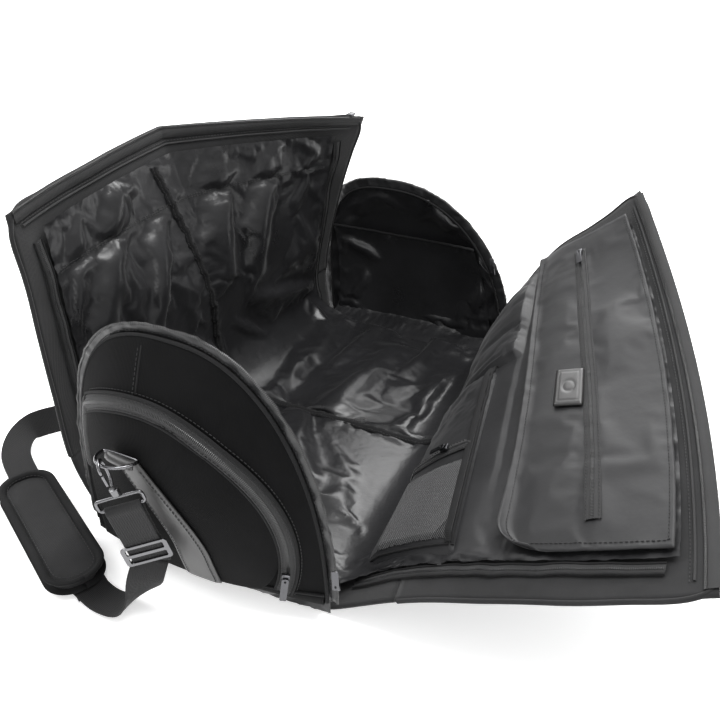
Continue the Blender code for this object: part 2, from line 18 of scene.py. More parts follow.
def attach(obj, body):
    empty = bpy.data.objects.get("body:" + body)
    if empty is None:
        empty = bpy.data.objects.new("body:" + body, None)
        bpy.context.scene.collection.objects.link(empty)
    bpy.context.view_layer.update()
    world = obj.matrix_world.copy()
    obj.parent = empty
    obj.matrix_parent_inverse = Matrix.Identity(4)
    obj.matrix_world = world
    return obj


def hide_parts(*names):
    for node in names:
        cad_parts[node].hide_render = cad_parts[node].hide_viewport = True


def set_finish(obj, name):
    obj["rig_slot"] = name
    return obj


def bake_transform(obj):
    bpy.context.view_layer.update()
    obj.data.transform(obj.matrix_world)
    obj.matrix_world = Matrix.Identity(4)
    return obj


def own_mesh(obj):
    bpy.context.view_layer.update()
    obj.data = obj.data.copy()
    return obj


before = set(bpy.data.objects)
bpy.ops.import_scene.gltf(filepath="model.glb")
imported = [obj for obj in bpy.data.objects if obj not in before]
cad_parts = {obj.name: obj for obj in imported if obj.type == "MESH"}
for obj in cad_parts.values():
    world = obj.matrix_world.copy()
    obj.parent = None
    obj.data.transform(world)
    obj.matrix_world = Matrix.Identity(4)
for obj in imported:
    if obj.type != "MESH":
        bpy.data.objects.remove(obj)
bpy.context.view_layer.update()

# %% [markdown]
# ## Camera, floor and light
#
# The camera stands at the right front corner and looks down at about 30 degrees. The floor is a
# plain pale plane that glows a little, so that it stays pale under the bag. Black satin shows its
# folds only through what it reflects, so the light comes from large soft panels: one high at the
# back that streaks the folds, one from the left, one above, and a weak one at the front. The sky is
# darker near the horizon, which keeps the upright panels blacker than the ones that face up.

# %% camera
AZIMUTH = math.radians(25.5)
ELEVATION = math.radians(31.6)
LENS_MM = 40.4
EYE = Vector((0.4437, -0.8379, 0.7049))


def add_camera():
    data = bpy.data.cameras.new("camera")
    data.lens = LENS_MM
    data.clip_start = 0.02
    camera = bpy.data.objects.new("camera", data)
    back = Vector((math.sin(AZIMUTH) * math.cos(ELEVATION), -math.cos(AZIMUTH) * math.cos(ELEVATION),
                   math.sin(ELEVATION)))
    camera.rotation_mode = "QUATERNION"
    camera.location = EYE
    camera.rotation_quaternion = (-back).to_track_quat("-Z", "Y")
    bpy.context.scene.collection.objects.link(camera)
    bpy.context.scene.camera = camera


add_camera()


# %% floor and lights
FLOOR_GLOW = 0.45
SKY_LOW, SKY_HIGH = 0.45, 1.20      # the sky's strength at the horizon and overhead


def add_floor():
    bpy.ops.mesh.primitive_plane_add(size=14.0, location=(0.0, 0.0, -0.0012))
    floor = bpy.context.object
    floor.name = "studio_floor"
    paint = bpy.data.materials.new("studio_floor")
    paint.use_nodes = True
    shader = paint.node_tree.nodes["Principled BSDF"]
    shader.inputs["Base Color"].default_value = (0.94, 0.94, 0.94, 1.0)
    shader.inputs["Roughness"].default_value = 0.9
    shader.inputs["Emission Color"].default_value = (1.0, 1.0, 1.0, 1.0)
    shader.inputs["Emission Strength"].default_value = FLOOR_GLOW
    floor.data.materials.append(paint)


def add_light(name, place, target, size, power):
    """A soft rectangular panel that faces its target."""
    data = bpy.data.lights.new(name, "AREA")
    data.shape = "RECTANGLE"
    data.size, data.size_y = size
    data.energy = power
    light = bpy.data.objects.new(name, data)
    light.location = place
    light.rotation_euler = (Vector(target) - Vector(place)).to_track_quat("-Z", "Y").to_euler()
    bpy.context.scene.collection.objects.link(light)


def add_world():
    world = bpy.data.worlds.new("studio")
    world.use_nodes = True
    tree = world.node_tree
    background = tree.nodes["Background"]
    background.inputs["Color"].default_value = (1.0, 1.0, 1.0, 1.0)
    space = tree.nodes.new("ShaderNodeTexCoord")
    split = tree.nodes.new("ShaderNodeSeparateXYZ")
    height = tree.nodes.new("ShaderNodeMapRange")
    height.inputs["To Min"].default_value = SKY_LOW
    height.inputs["To Max"].default_value = SKY_HIGH
    tree.links.new(space.outputs["Generated"], split.inputs["Vector"])
    tree.links.new(split.outputs["Z"], height.inputs["Value"])
    tree.links.new(height.outputs["Result"], background.inputs["Strength"])
    bpy.context.scene.world = world


bpy.context.scene.view_settings.view_transform = "Standard"
add_floor()
add_world()
add_light("back_panel", (-0.3, 2.2, 1.9), (0.0, 0.0, 0.1), (2.2, 1.2), 62)
add_light("left_panel", (-2.2, -0.4, 1.7), (0.0, 0.0, 0.1), (1.4, 1.6), 40)
add_light("top_panel", (0.6, 0.1, 2.4), (0.0, 0.0, 0.0), (1.4, 1.2), 62)
add_light("front_panel", (0.9, -2.4, 1.3), (0.0, 0.0, 0.1), (1.8, 1.2), 14)

# %% [markdown]
# ## Materials
#
# Every cloth on the bag is black, so they differ in gloss and in weave. Each material is a
# Principled shader whose weave is a procedural bump in object space, which needs no UVs and so
# survives remeshing and simulation. A noise varies colour and roughness a little, as handling does.


# %% material helpers
WAVE_PERIOD = 0.314     # metres from band to band of a wave texture at scale 1


def shader_of(name, color, roughness, metallic=0.0):
    """A new material and its Principled shader."""
    material = bpy.data.materials.new(name)
    material.use_nodes = True
    shader = material.node_tree.nodes["Principled BSDF"]
    shader.inputs["Base Color"].default_value = (*color, 1.0)
    shader.inputs["Roughness"].default_value = roughness
    shader.inputs["Metallic"].default_value = metallic
    material.diffuse_color = (*color, 1.0)
    return material, shader


def add_node(material, kind, settings=None, **inputs):
    """A shader node; settings are its properties, inputs are its sockets' values."""
    node = material.node_tree.nodes.new(kind)
    for key, value in (settings or {}).items():
        setattr(node, key, value)
    for key, value in inputs.items():
        node.inputs[key.replace("_", " ")].default_value = value
    return node


def link(material, source, output, target, socket):
    material.node_tree.links.new(source.outputs[output], target.inputs[socket])


def object_space(material):
    return add_node(material, "ShaderNodeTexCoord")


def vary(material, shader, color, spread, roughness, scale):
    """Colour and roughness that drift a little over the cloth."""
    space = object_space(material)
    grain = add_node(material, "ShaderNodeTexNoise", Scale=scale, Detail=4.0, Roughness=0.6)
    link(material, space, "Object", grain, "Vector")
    ramp = add_node(material, "ShaderNodeValToRGB")
    ramp.color_ramp.elements[0].position = 0.35
    ramp.color_ramp.elements[1].position = 0.68
    ramp.color_ramp.elements[0].color = (*[c * (1 - spread) for c in color], 1.0)
    ramp.color_ramp.elements[1].color = (*[c * (1 + spread) for c in color], 1.0)
    link(material, grain, "Fac", ramp, "Fac")
    link(material, ramp, "Color", shader, "Base Color")
    spread_of = add_node(material, "ShaderNodeMapRange")
    spread_of.inputs["To Min"].default_value = roughness[0]
    spread_of.inputs["To Max"].default_value = roughness[1]
    link(material, grain, "Fac", spread_of, "Value")
    link(material, spread_of, "Result", shader, "Roughness")


def weave_bump(material, shader, pitch, strength, distance, crumple=0.0, crumple_scale=60.0):
    """Two crossed waves make the threads, and a noise makes fine crumples."""
    space = object_space(material)
    heights = []
    for direction, turn in (("X", 0.0), ("Y", 0.6)):
        spin = add_node(material, "ShaderNodeMapping")
        spin.inputs["Rotation"].default_value = (0.5, turn, 0.35)
        link(material, space, "Object", spin, "Vector")
        wave = add_node(material, "ShaderNodeTexWave", {"bands_direction": direction},
                        Scale=WAVE_PERIOD / pitch, Distortion=0.6, Detail=1.0)
        link(material, spin, "Vector", wave, "Vector")
        heights.append(wave)
    total = add_node(material, "ShaderNodeMath", {"operation": "ADD"})
    link(material, heights[0], "Fac", total, 0)
    link(material, heights[1], "Fac", total, 1)
    bump = add_node(material, "ShaderNodeBump", Strength=strength, Distance=distance)
    link(material, total, "Value", bump, "Height")
    if crumple:
        grain = add_node(material, "ShaderNodeTexNoise", Scale=crumple_scale, Detail=3.0, Roughness=0.55)
        link(material, space, "Object", grain, "Vector")
        coarse = add_node(material, "ShaderNodeBump", Strength=crumple, Distance=0.004)
        link(material, grain, "Fac", coarse, "Height")
        link(material, coarse, "Normal", bump, "Normal")
    link(material, bump, "Normal", shader, "Normal")


# %% [markdown]
# ### The bag's finishes
#
# Satin lining is smooth and shiny, with a soft second sheen. The outer fabric is a dense matte
# twill in two copies: a lighter one with painted light on the wings and base, and a darker one with
# painted shade on the end panels and the front pocket. Webbing has a coarse rib, the pad a fine
# knit, leather a pebbled grain under a light coat.
# Metal is a dark polished plating, brighter on the strap hardware than on the zips.

# %% cloth and leather finishes
SATIN_COLOR = (0.010, 0.010, 0.0108)
LEATHER_COLOR = (0.018, 0.0175, 0.0175)


def make_satin(name, gloss, crumple, shine=0.40):
    material, shader = shader_of(name, SATIN_COLOR, gloss)
    vary(material, shader, SATIN_COLOR, 0.25, (gloss * 0.85, gloss * 1.2), 9.0)
    weave_bump(material, shader, 0.0011, 0.06, 0.0002, crumple, 55.0)
    shader.inputs["Specular IOR Level"].default_value = shine
    shader.inputs["Sheen Weight"].default_value = 0.06
    shader.inputs["Sheen Roughness"].default_value = 0.4
    return material


def make_twill(name, color, pitch, strength, rough=(0.74, 0.9), sheen=0.02, shine=0.10):
    material, shader = shader_of(name, color, rough[0])
    vary(material, shader, color, 0.22, rough, 24.0)
    weave_bump(material, shader, pitch, strength, 0.0004)
    shader.inputs["Specular IOR Level"].default_value = shine
    shader.inputs["Sheen Weight"].default_value = sheen
    shader.inputs["Sheen Roughness"].default_value = 0.55
    return material


def make_leather(name):
    material, shader = shader_of(name, LEATHER_COLOR, 0.42)
    vary(material, shader, LEATHER_COLOR, 0.2, (0.34, 0.5), 30.0)
    space = object_space(material)
    pebbles = add_node(material, "ShaderNodeTexVoronoi", {"feature": "SMOOTH_F1"}, Scale=900.0)
    link(material, space, "Object", pebbles, "Vector")
    bump = add_node(material, "ShaderNodeBump", Strength=0.22, Distance=0.0003)
    link(material, pebbles, "Distance", bump, "Height")
    link(material, bump, "Normal", shader, "Normal")
    shader.inputs["Coat Weight"].default_value = 0.25
    shader.inputs["Coat Roughness"].default_value = 0.3
    return material


SATIN = make_satin("satin_lining", 0.28, 0.16)
SATIN_MATTE = make_satin("satin_flap", 0.46, 0.08, 0.30)
RIM_SATIN = make_satin("satin_rim_tape", 0.40, 0.30, 0.52)
# The wings' and base's copy of the twill is made lighter as painted light, matched to the wing borders that
# face up into the light.
SHELL_FABRIC_PAINTED_LIGHT = make_twill("outer_twill_painted_light", (0.0125, 0.0125, 0.0130), 0.0009, 0.36, sheen=0.09, shine=0.15)
# The end panels' copy of the twill is made darker as painted shade, for the upright panels that catch less
# light.
PANEL_FABRIC_PAINTED_SHADE = make_twill("panel_twill_painted_shade", (0.0036, 0.0036, 0.0038), 0.0009, 0.36, shine=0.05)
BINDING = make_twill("binding_tape", (0.0075, 0.0075, 0.0079), 0.0012, 0.45, shine=0.16)
TAPE = make_twill("zip_tape", (0.0140, 0.0140, 0.0145), 0.0010, 0.45, (0.6, 0.8), 0.06, 0.30)
TEETH = make_twill("zip_coil", (0.0150, 0.0150, 0.0155), 0.0008, 0.1, (0.30, 0.42), 0.0, 0.85)
WEBBING = make_twill("strap_webbing", (0.0095, 0.0095, 0.0100), 0.0016, 0.6, (0.55, 0.75), 0.05, 0.22)
PAD_CLOTH = make_twill("pad_cloth", (0.0150, 0.0150, 0.0156), 0.0013, 0.5, (0.7, 0.9), 0.05, 0.16)
NET = make_twill("pocket_net", (0.024, 0.024, 0.025), 0.0012, 0.2, (0.4, 0.6), 0.06, 0.45)
THREAD = make_twill("sewing_thread", (0.0160, 0.0160, 0.0165), 0.0006, 0.1, (0.5, 0.65), 0.05, 0.30)
LEATHER = make_leather("black_leather")


# %% metal finishes
def make_metal(name, color, roughness, scratch):
    material, shader = shader_of(name, color, roughness, 1.0)
    space = object_space(material)
    grain = add_node(material, "ShaderNodeTexNoise", Scale=420.0, Detail=5.0)
    link(material, space, "Object", grain, "Vector")
    spread_of = add_node(material, "ShaderNodeMapRange")
    spread_of.inputs["To Min"].default_value = roughness * 0.7
    spread_of.inputs["To Max"].default_value = roughness * 1.5
    link(material, grain, "Fac", spread_of, "Value")
    link(material, spread_of, "Result", shader, "Roughness")
    bump = add_node(material, "ShaderNodeBump", Strength=scratch, Distance=0.0002)
    link(material, grain, "Fac", bump, "Height")
    link(material, bump, "Normal", shader, "Normal")
    return material


GUNMETAL = make_metal("polished_gunmetal", (0.135, 0.135, 0.140), 0.20, 0.06)
ZIP_METAL = make_metal("zip_plating", (0.085, 0.085, 0.090), 0.28, 0.08)
print("materials:", len(bpy.data.materials))

# %% [markdown]
# ## The bag's shape
#
# The cloth follows the same shape as the frame: each wing is a surface through three side views
# (front end, middle, rear end), and each end panel is half a superellipse that bulges outward.
# Everything soft is laid on these surfaces and then wrinkled, so it stays where the frame has it.

# %% driving sizes
LENGTH = 0.600
HALF_W = 0.155
FLOOR_TOP = 0.0205
LEFT_SIDES = (
    ((-0.158, 0.012), (-0.194, 0.095), (-0.198, 0.195), (-0.200, 0.300), (-0.206, 0.404)),
    ((-0.158, 0.012), (-0.194, 0.100), (-0.188, 0.190), (-0.212, 0.300), (-0.246, 0.411)),
    ((-0.158, 0.012), (-0.166, 0.095), (-0.152, 0.185), (-0.125, 0.280), (-0.093, 0.372)),
)
RIGHT_SIDES = (
    ((0.158, 0.012), (0.243, 0.066), (0.325, 0.104), (0.415, 0.146), (0.509, 0.200)),
    ((0.158, 0.012), (0.205, 0.089), (0.274, 0.154), (0.362, 0.192), (0.455, 0.226)),
    ((0.158, 0.012), (0.170, 0.100), (0.222, 0.203), (0.276, 0.258), (0.331, 0.318)),
)
BORDER = 0.07           # the wing's bare border, as a share of its length and of its height


# %% curves and surfaces
def spline(points, t):
    """A smooth curve through the points, t from 0 to 1."""
    last = len(points) - 1
    place = min(max(t, 0.0), 1.0) * last
    start = min(int(place), last - 1)
    f = place - start
    b, c = Vector(points[start]), Vector(points[start + 1])
    a = Vector(points[start - 1]) if start > 0 else b * 2 - c
    d = Vector(points[start + 2]) if start + 2 <= last else c * 2 - b
    return 0.5 * (2 * b + (c - a) * f + (2 * a - 5 * b + 4 * c - d) * f ** 2
                  + (3 * b - a - 3 * c + d) * f ** 3)


class Wing:
    """A wing's surface: u from its foot to its outer edge, v from the front end to the rear one."""

    def __init__(self, sides, inward, corner):
        self.sides = sides
        self.inward = inward
        self.corner = corner        # how far the outer edge goes from an even bow to two straight runs

    def flat(self, u, v):
        front, middle, rear = (spline(side, min(u, 1.0)) for side in self.sides)
        if u > 1.0:
            front, middle, rear = (a + (a - spline(side, 0.98)) * (u - 1.0) / 0.02
                                   for a, side in zip((front, middle, rear), self.sides))
        bowed = (2 * (v - 0.5) * (v - 1), 4 * v * (1 - v), 2 * v * (v - 0.5))
        bent = (max(0.0, 1 - 2 * v), 1 - abs(2 * v - 1), max(0.0, 2 * v - 1))
        share = self.corner * min(max(u, 0.0), 1.0) ** 2
        a, b, c = (p + (q - p) * share for p, q in zip(bowed, bent))
        mixed = front * a + middle * b + rear * c
        return Vector((mixed.x, (v - 0.5) * LENGTH, mixed.y))

    def normal(self, u, v):
        """Towards the inside of the bag."""
        step = 0.004
        u = min(max(u, step), 1 - step)
        du = self.flat(u + step, v) - self.flat(u - step, v)
        dv = self.flat(u, v + step) - self.flat(u, v - step)
        return du.cross(dv).normalized() * self.inward

    def at(self, u, v, height=0.0):
        return self.flat(u, v) + self.normal(u, v) * height


LEFT = Wing(LEFT_SIDES, -1.0, 0.75)
RIGHT = Wing(RIGHT_SIDES, 1.0, 0.0)


# %% meshes from grids and ribbons
def new_piece(name, mesh, material, slot_name):
    """An object in the scene, with its material and its slot."""
    piece = bpy.data.objects.new(name, mesh)
    bpy.context.scene.collection.objects.link(piece)
    if material is not None:
        mesh.materials.append(material)
    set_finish(piece, slot_name)
    return piece


def grid_mesh(name, points, closed=False):
    """A mesh from rows of points; closed joins each row's ends and caps the two end rows."""
    rows, columns = len(points), len(points[0])
    flat = [tuple(p) for row in points for p in row]
    faces = []
    last = columns if closed else columns - 1
    for i in range(rows - 1):
        for j in range(last):
            k = (j + 1) % columns
            faces.append((i * columns + j, (i + 1) * columns + j, (i + 1) * columns + k, i * columns + k))
    if closed:
        faces.append(tuple(range(columns)))
        faces.append(tuple((rows - 1) * columns + j for j in reversed(range(columns))))
    mesh = bpy.data.meshes.new(name)
    mesh.from_pydata(flat, [], faces)
    mesh.shade_smooth()
    return mesh


def apply_modifiers(piece):
    """Turns a piece and its modifiers into plain mesh."""
    depsgraph = bpy.context.evaluated_depsgraph_get()
    mesh = bpy.data.meshes.new_from_object(piece.evaluated_get(depsgraph))
    old = piece.data
    piece.modifiers.clear()
    piece.data = mesh
    bpy.data.meshes.remove(old)
    return piece


def thicken(piece, thickness, offset=0.0):
    """Gives a sheet its thickness: offset 0 half to each side, offset -1 all behind it."""
    solid = piece.modifiers.new("thickness", "SOLIDIFY")
    solid.thickness = thickness
    solid.offset = offset
    solid.use_rim = True
    return apply_modifiers(piece)


def path_frames(points, normals):
    """Along, side and normal at each point of a route."""
    frames = []
    for i, point in enumerate(points):
        before, after = points[max(i - 1, 0)], points[min(i + 1, len(points) - 1)]
        along = (after - before).normalized()
        normal = (normals[i] - along * normals[i].dot(along)).normalized()
        frames.append((along, normal.cross(along), normal))
    return frames


def band(name, points, normals, profile, material, slot_name):
    """Sweeps a flat profile of (side, height) points along a route."""
    rows = []
    for point, (_, side, normal) in zip(points, path_frames(points, normals)):
        rows.append([point + side * s + normal * h for s, h in profile])
    return new_piece(name, grid_mesh(name, rows), material, slot_name)


def piping(name, points, radius, material=BINDING):
    """A round cord along points."""
    curve = bpy.data.curves.new(name, "CURVE")
    curve.dimensions = "3D"
    curve.bevel_depth = radius
    curve.bevel_resolution = 2
    curve.use_fill_caps = True
    line = curve.splines.new("POLY")
    line.points.add(len(points) - 1)
    for spot, point in zip(line.points, points):
        spot.co = (*point, 1.0)
    holder = bpy.data.objects.new(name, curve)
    bpy.context.scene.collection.objects.link(holder)
    depsgraph = bpy.context.evaluated_depsgraph_get()
    mesh = bpy.data.meshes.new_from_object(holder.evaluated_get(depsgraph))
    bpy.data.objects.remove(holder, do_unlink=True)
    bpy.data.curves.remove(curve)
    mesh.shade_smooth()
    return new_piece(name, mesh, material, "outer_fabric")


def resample(points, spacing):
    """The same route with even steps."""
    lengths = [0.0]
    for a, b in zip(points, points[1:]):
        lengths.append(lengths[-1] + (Vector(b) - Vector(a)).length)
    count = max(2, int(round(lengths[-1] / spacing)) + 1)
    flat = np.array([tuple(p) for p in points])
    marks = np.linspace(0.0, lengths[-1], count)
    return [Vector(tuple(np.interp(m, lengths, flat[:, k]) for k in range(3))) for m in marks]


def matched(normals, count):
    """Normals picked to match a route that was resampled to count points."""
    return [normals[int(m)] for m in np.linspace(0, len(normals) - 1, count)]


def join(name, pieces):
    """One piece from several, keeping their materials."""
    bm = bmesh.new()
    materials = []
    for piece in pieces:
        start = len(bm.faces)
        shift = len(materials)
        bm.from_mesh(piece.data)
        bm.faces.ensure_lookup_table()
        for face in bm.faces[start:]:
            face.material_index += shift
        materials += list(piece.data.materials)
    mesh = bpy.data.meshes.new(name)
    bm.to_mesh(mesh)
    bm.free()
    slot_name = pieces[0]["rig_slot"]
    for piece in pieces:
        bpy.data.objects.remove(piece, do_unlink=True)
    whole = new_piece(name, mesh, None, slot_name)
    for material in materials:
        mesh.materials.append(material)
    return whole


def ripple(point, scale, seed=0.0):
    """A smooth random value from about -1 to 1; scale is how many ripples there are to a metre."""
    return noise.noise(Vector(point) * scale + Vector((seed, seed * 1.7, seed * 0.6)))

# %% [markdown]
# ## The lining, as one cloth
#
# The lining runs from the left wing down over the floor and up the right wing, and is cut a little
# larger than the shell. So it is modelled the same way: one oversized cloth is pinned along its
# real seams and left to settle. The excess buckles into folds between the seams. Nothing can sink
# into the shell behind it, so the part of each fold that would go through is laid flat on the
# shell. The settled cloth is then cut where the wings fold.

# %% settle an oversized cloth between its seams
CLOTH_TENSION = 18.0


def settle(points, seams, grow, frames, bending):
    """Lets a cloth settle from a grid of points, held where its pin weights in seams are above 0."""
    piece = bpy.data.objects.new("settling", grid_mesh("settling", points))
    bpy.context.scene.collection.objects.link(piece)
    pins = piece.vertex_groups.new(name="seams")
    weights = np.asarray(seams).reshape(-1)
    for weight in sorted(set(weights.tolist())):
        if weight > 0:
            pins.add(np.flatnonzero(weights == weight).tolist(), weight, "REPLACE")
    cloth = piece.modifiers.new("cloth", "CLOTH")
    cloth.settings.quality = 4
    cloth.settings.mass = 0.2
    cloth.settings.air_damping = 4.0
    cloth.settings.tension_stiffness = CLOTH_TENSION
    cloth.settings.compression_stiffness = CLOTH_TENSION
    cloth.settings.shear_stiffness = CLOTH_TENSION * 0.4
    cloth.settings.bending_stiffness = bending
    cloth.settings.shrink_min = -grow
    cloth.settings.vertex_group_mass = pins.name
    cloth.settings.effector_weights.gravity = 0.0
    cloth.collision_settings.use_collision = False
    cloth.point_cache.frame_start = 1
    cloth.point_cache.frame_end = frames
    for frame_number in range(1, frames + 1):
        bpy.context.scene.frame_set(frame_number)
    settled = piece.evaluated_get(bpy.context.evaluated_depsgraph_get())
    found = np.array([tuple(v.co) for v in settled.data.vertices])
    bpy.context.scene.frame_set(1)
    bpy.data.objects.remove(piece, do_unlink=True)
    return found.reshape(len(points), len(points[0]), 3)


SOFTEN = 0.0016         # how softly a fold meets the shell it lies on


def lay_on(base, normals, settled, highest):
    """Keeps a settled cloth on the inner side of its shell and limits how far a fold stands off."""
    offset = settled - base
    height = (offset * normals).sum(axis=2)
    along = offset - normals * height[..., None]
    raised = 0.5 * (height + np.sqrt(height ** 2 + SOFTEN ** 2))
    raised = highest * np.tanh(raised / highest)
    return base + along + normals * raised[..., None]


def as_array(rows):
    """Rows of points as one array."""
    return np.array([[tuple(p) for p in row] for row in rows])


def piece_from(name, points, material, slot_name):
    return new_piece(name, grid_mesh(name, points), material, slot_name)


# %% the lining's section across the bag
SECTION_COUNTS = (70, 34, 50, 20, 80)
LINING_LIFT = 0.0045
LEFT_FOOT_U = 0.21
RIGHT_FOOT_U = 0.12
FLOOR_SIDES = (-0.085, 0.122)
FLOOR_MARGIN = 0.024    # how far the lining stops short of the bag's ends, as a share of its length


def bend_between(start, start_way, end, end_way, f):
    """A smooth bend from one point and heading to another."""
    reach = (end - start).length
    a = 2 * f ** 3 - 3 * f ** 2 + 1
    b = f ** 3 - 2 * f ** 2 + f
    c = -2 * f ** 3 + 3 * f ** 2
    d = f ** 3 - f ** 2
    return start * a + start_way * reach * b + end * c + end_way * reach * d


def section_point(part, f, v):
    """A point of the bare lining: which part of the section, how far along it, and v along the bag."""
    if part == 0:
        return LEFT.at(1 - BORDER + (LEFT_FOOT_U - 1 + BORDER) * f, v, LINING_LIFT)
    if part == 4:
        return RIGHT.at(RIGHT_FOOT_U + (1 - BORDER - RIGHT_FOOT_U) * f, v, LINING_LIFT)
    y = (v - 0.5) * LENGTH
    if part == 2:
        return Vector((FLOOR_SIDES[0] + (FLOOR_SIDES[1] - FLOOR_SIDES[0]) * f, y, FLOOR_TOP))
    if part == 1:
        start = LEFT.at(LEFT_FOOT_U, v, LINING_LIFT)
        way = (start - LEFT.at(LEFT_FOOT_U + 0.02, v, LINING_LIFT)).normalized()
        return bend_between(start, way, Vector((FLOOR_SIDES[0], y, FLOOR_TOP)), Vector((1, 0, 0)), f)
    end = RIGHT.at(RIGHT_FOOT_U, v, LINING_LIFT)
    way = (RIGHT.at(RIGHT_FOOT_U + 0.02, v, LINING_LIFT) - end).normalized()
    return bend_between(Vector((FLOOR_SIDES[1], y, FLOOR_TOP)), Vector((1, 0, 0)), end, way, f)


def section_rows():
    """The (part, f) of every row, from the left wing's edge to the right wing's edge."""
    rows = []
    for part, count in enumerate(SECTION_COUNTS):
        rows += [(part, i / count) for i in range(count)]
    rows.append((4, 1.0))
    return rows


ROWS = section_rows()
COLUMNS = 138


def end_margin(part, f):
    """How far in from the bag's ends the lining stops: at the border on a wing, at the end on the floor."""
    if part in (0, 4):
        return BORDER
    if part == 2:
        return FLOOR_MARGIN
    share = f if part == 1 else 1 - f
    share = share * share * (3 - 2 * share)
    return BORDER + (FLOOR_MARGIN - BORDER) * share


def bare_lining():
    """The lining's surface before any fold, as a grid of points."""
    points = []
    for part, f in ROWS:
        margin = end_margin(part, f)
        points.append([section_point(part, f, margin + (1 - 2 * margin) * j / (COLUMNS - 1))
                       for j in range(COLUMNS)])
    return as_array(points)


def grid_normals(points, axis, sign):
    """Unit normals of a grid, on the side where the middle one has this sign along the axis."""
    normals = np.cross(np.gradient(points, axis=0), np.gradient(points, axis=1))
    normals = normals / np.linalg.norm(normals, axis=2, keepdims=True)
    middle = normals[len(points) // 2, len(points[0]) // 2, axis]
    return normals if middle * sign > 0 else -normals


def row_at(part, f):
    """The row of the lining a share f along a part of the section."""
    return sum(SECTION_COUNTS[:part]) + int(round(f * SECTION_COUNTS[part]))


BARE = bare_lining()
BARE_NORMALS = grid_normals(BARE, 2, 1)
print("bare lining:", BARE.shape[0], "rows by", BARE.shape[1], "columns")


# %% [markdown]
# ### Where the folds lie
#
# Small puckers come from the oversized cloth by itself. The long folds don't: they come from how
# the bag was opened. On the floor they run along the bag, away from the middle seam; on the
# standing wing they fall from the channel under its edge. Each is a soft ridge between two points.

# %% long folds and puckers
FLOOR_FOLDS = (     # (x, y) to (x, y), half width, height
    ((-0.105, 0.255), (-0.120, 0.020), 0.026, 0.017),
    ((0.008, 0.235), (-0.008, 0.025), 0.024, 0.016),
    ((0.112, 0.200), (0.100, 0.020), 0.020, 0.013),
    ((-0.052, 0.270), (-0.066, 0.120), 0.014, 0.007),
    ((0.060, 0.265), (0.050, 0.140), 0.014, 0.007),
    ((-0.050, -0.020), (0.018, -0.160), 0.026, 0.015),
    ((-0.095, -0.060), (-0.060, -0.230), 0.024, 0.012),
    ((0.070, -0.030), (0.090, -0.210), 0.022, 0.010),
    ((0.020, -0.180), (0.060, -0.270), 0.014, 0.008),
)
WALL_FOLDS = (      # (y, z) to (y, z) on the left wing
    ((-0.120, 0.370), (-0.225, 0.215), 0.020, 0.017),
    ((-0.070, 0.315), (-0.140, 0.160), 0.017, 0.014),
    ((-0.200, 0.360), (-0.255, 0.240), 0.011, 0.009),
    ((-0.235, 0.180), (-0.170, 0.090), 0.016, 0.010),
    ((0.060, 0.335), (0.015, 0.200), 0.024, 0.018),
    ((0.140, 0.315), (0.080, 0.185), 0.022, 0.022),
    ((0.080, 0.150), (0.270, 0.080), 0.017, 0.017),
    ((0.195, 0.240), (0.260, 0.120), 0.016, 0.010),
    ((-0.060, 0.140), (0.000, 0.060), 0.016, 0.012),
    ((0.040, 0.120), (0.130, 0.050), 0.014, 0.012),
)
OPEN_FOLDS = (      # (x, y) to (x, y) on the right wing
    ((0.200, 0.020), (0.215, -0.250), 0.020, 0.008),
    ((0.255, -0.060), (0.275, -0.265), 0.014, 0.007),
    ((0.190, 0.260), (0.200, 0.080), 0.014, 0.008),
    ((0.420, -0.180), (0.470, -0.255), 0.014, 0.006),
)


def ridge_heights(first, second, folds):
    """Height added by folds at points whose two plan coordinates are given."""
    total = np.zeros_like(first)
    for (a, b, width, height) in folds:
        a, b = np.array(a), np.array(b)
        way = b - a
        share = ((first - a[0]) * way[0] + (second - a[1]) * way[1]) / (way @ way)
        held = np.clip(share, 0.0, 1.0)
        off = np.hypot(first - a[0] - held * way[0], second - a[1] - held * way[1])
        swell = np.sin(np.pi * (0.15 + 0.7 * held))
        total += height * swell * np.exp(-(off / width) ** 2)
    return total


def part_share(parts):
    """1 on the rows of the given parts of the section, 0 elsewhere."""
    return np.array([1.0 if part in parts else 0.0 for part, _ in ROWS])[:, None]


def long_folds():
    """Fold heights over the whole lining; each list acts on its own part of the section."""
    x, y, z = BARE[..., 0], BARE[..., 1], BARE[..., 2]
    wall = np.array([1.0 if part == 0 else (1 - f if part == 1 else 0.0) for part, f in ROWS])[:, None]
    floor = np.array([f if part == 1 else (1.0 if part in (2, 3) else 0.0) for part, f in ROWS])[:, None]
    return (ridge_heights(y, z, WALL_FOLDS) * wall + ridge_heights(x, y, FLOOR_FOLDS) * floor
            + ridge_heights(x, y, OPEN_FOLDS) * part_share((3, 4)))


MID_SEAM = COLUMNS // 2
CHANNEL_U = 0.80
CHANNEL_ROW = row_at(0, (1 - BORDER - CHANNEL_U) / (1 - BORDER - LEFT_FOOT_U))
SEAM_SKEW = 0.055       # how far the middle seam wanders forward at the top of the left wing


def seam_column(row):
    """The column of the middle seam, which drifts forward up the left wing."""
    part, f = ROWS[row]
    rise = 1 - f if part == 0 else 0.0
    return MID_SEAM - int(round(SEAM_SKEW / LENGTH * COLUMNS * rise ** 1.5))


def edge_seams(points):
    """Pin weights of a cloth that is sewn along its four edges."""
    seams = np.zeros(points.shape[:2])
    seams[0, :] = seams[-1, :] = seams[:, 0] = seams[:, -1] = 1.0
    return seams


def lining_seams():
    """Pin weights: the edges, the seam across the middle, and the channel under the left edge."""
    seams = edge_seams(BARE)
    for row in range(row_at(4, 0.0)):
        seams[row, seam_column(row)] = 1.0
    seams[CHANNEL_ROW, :] = 1.0
    return seams


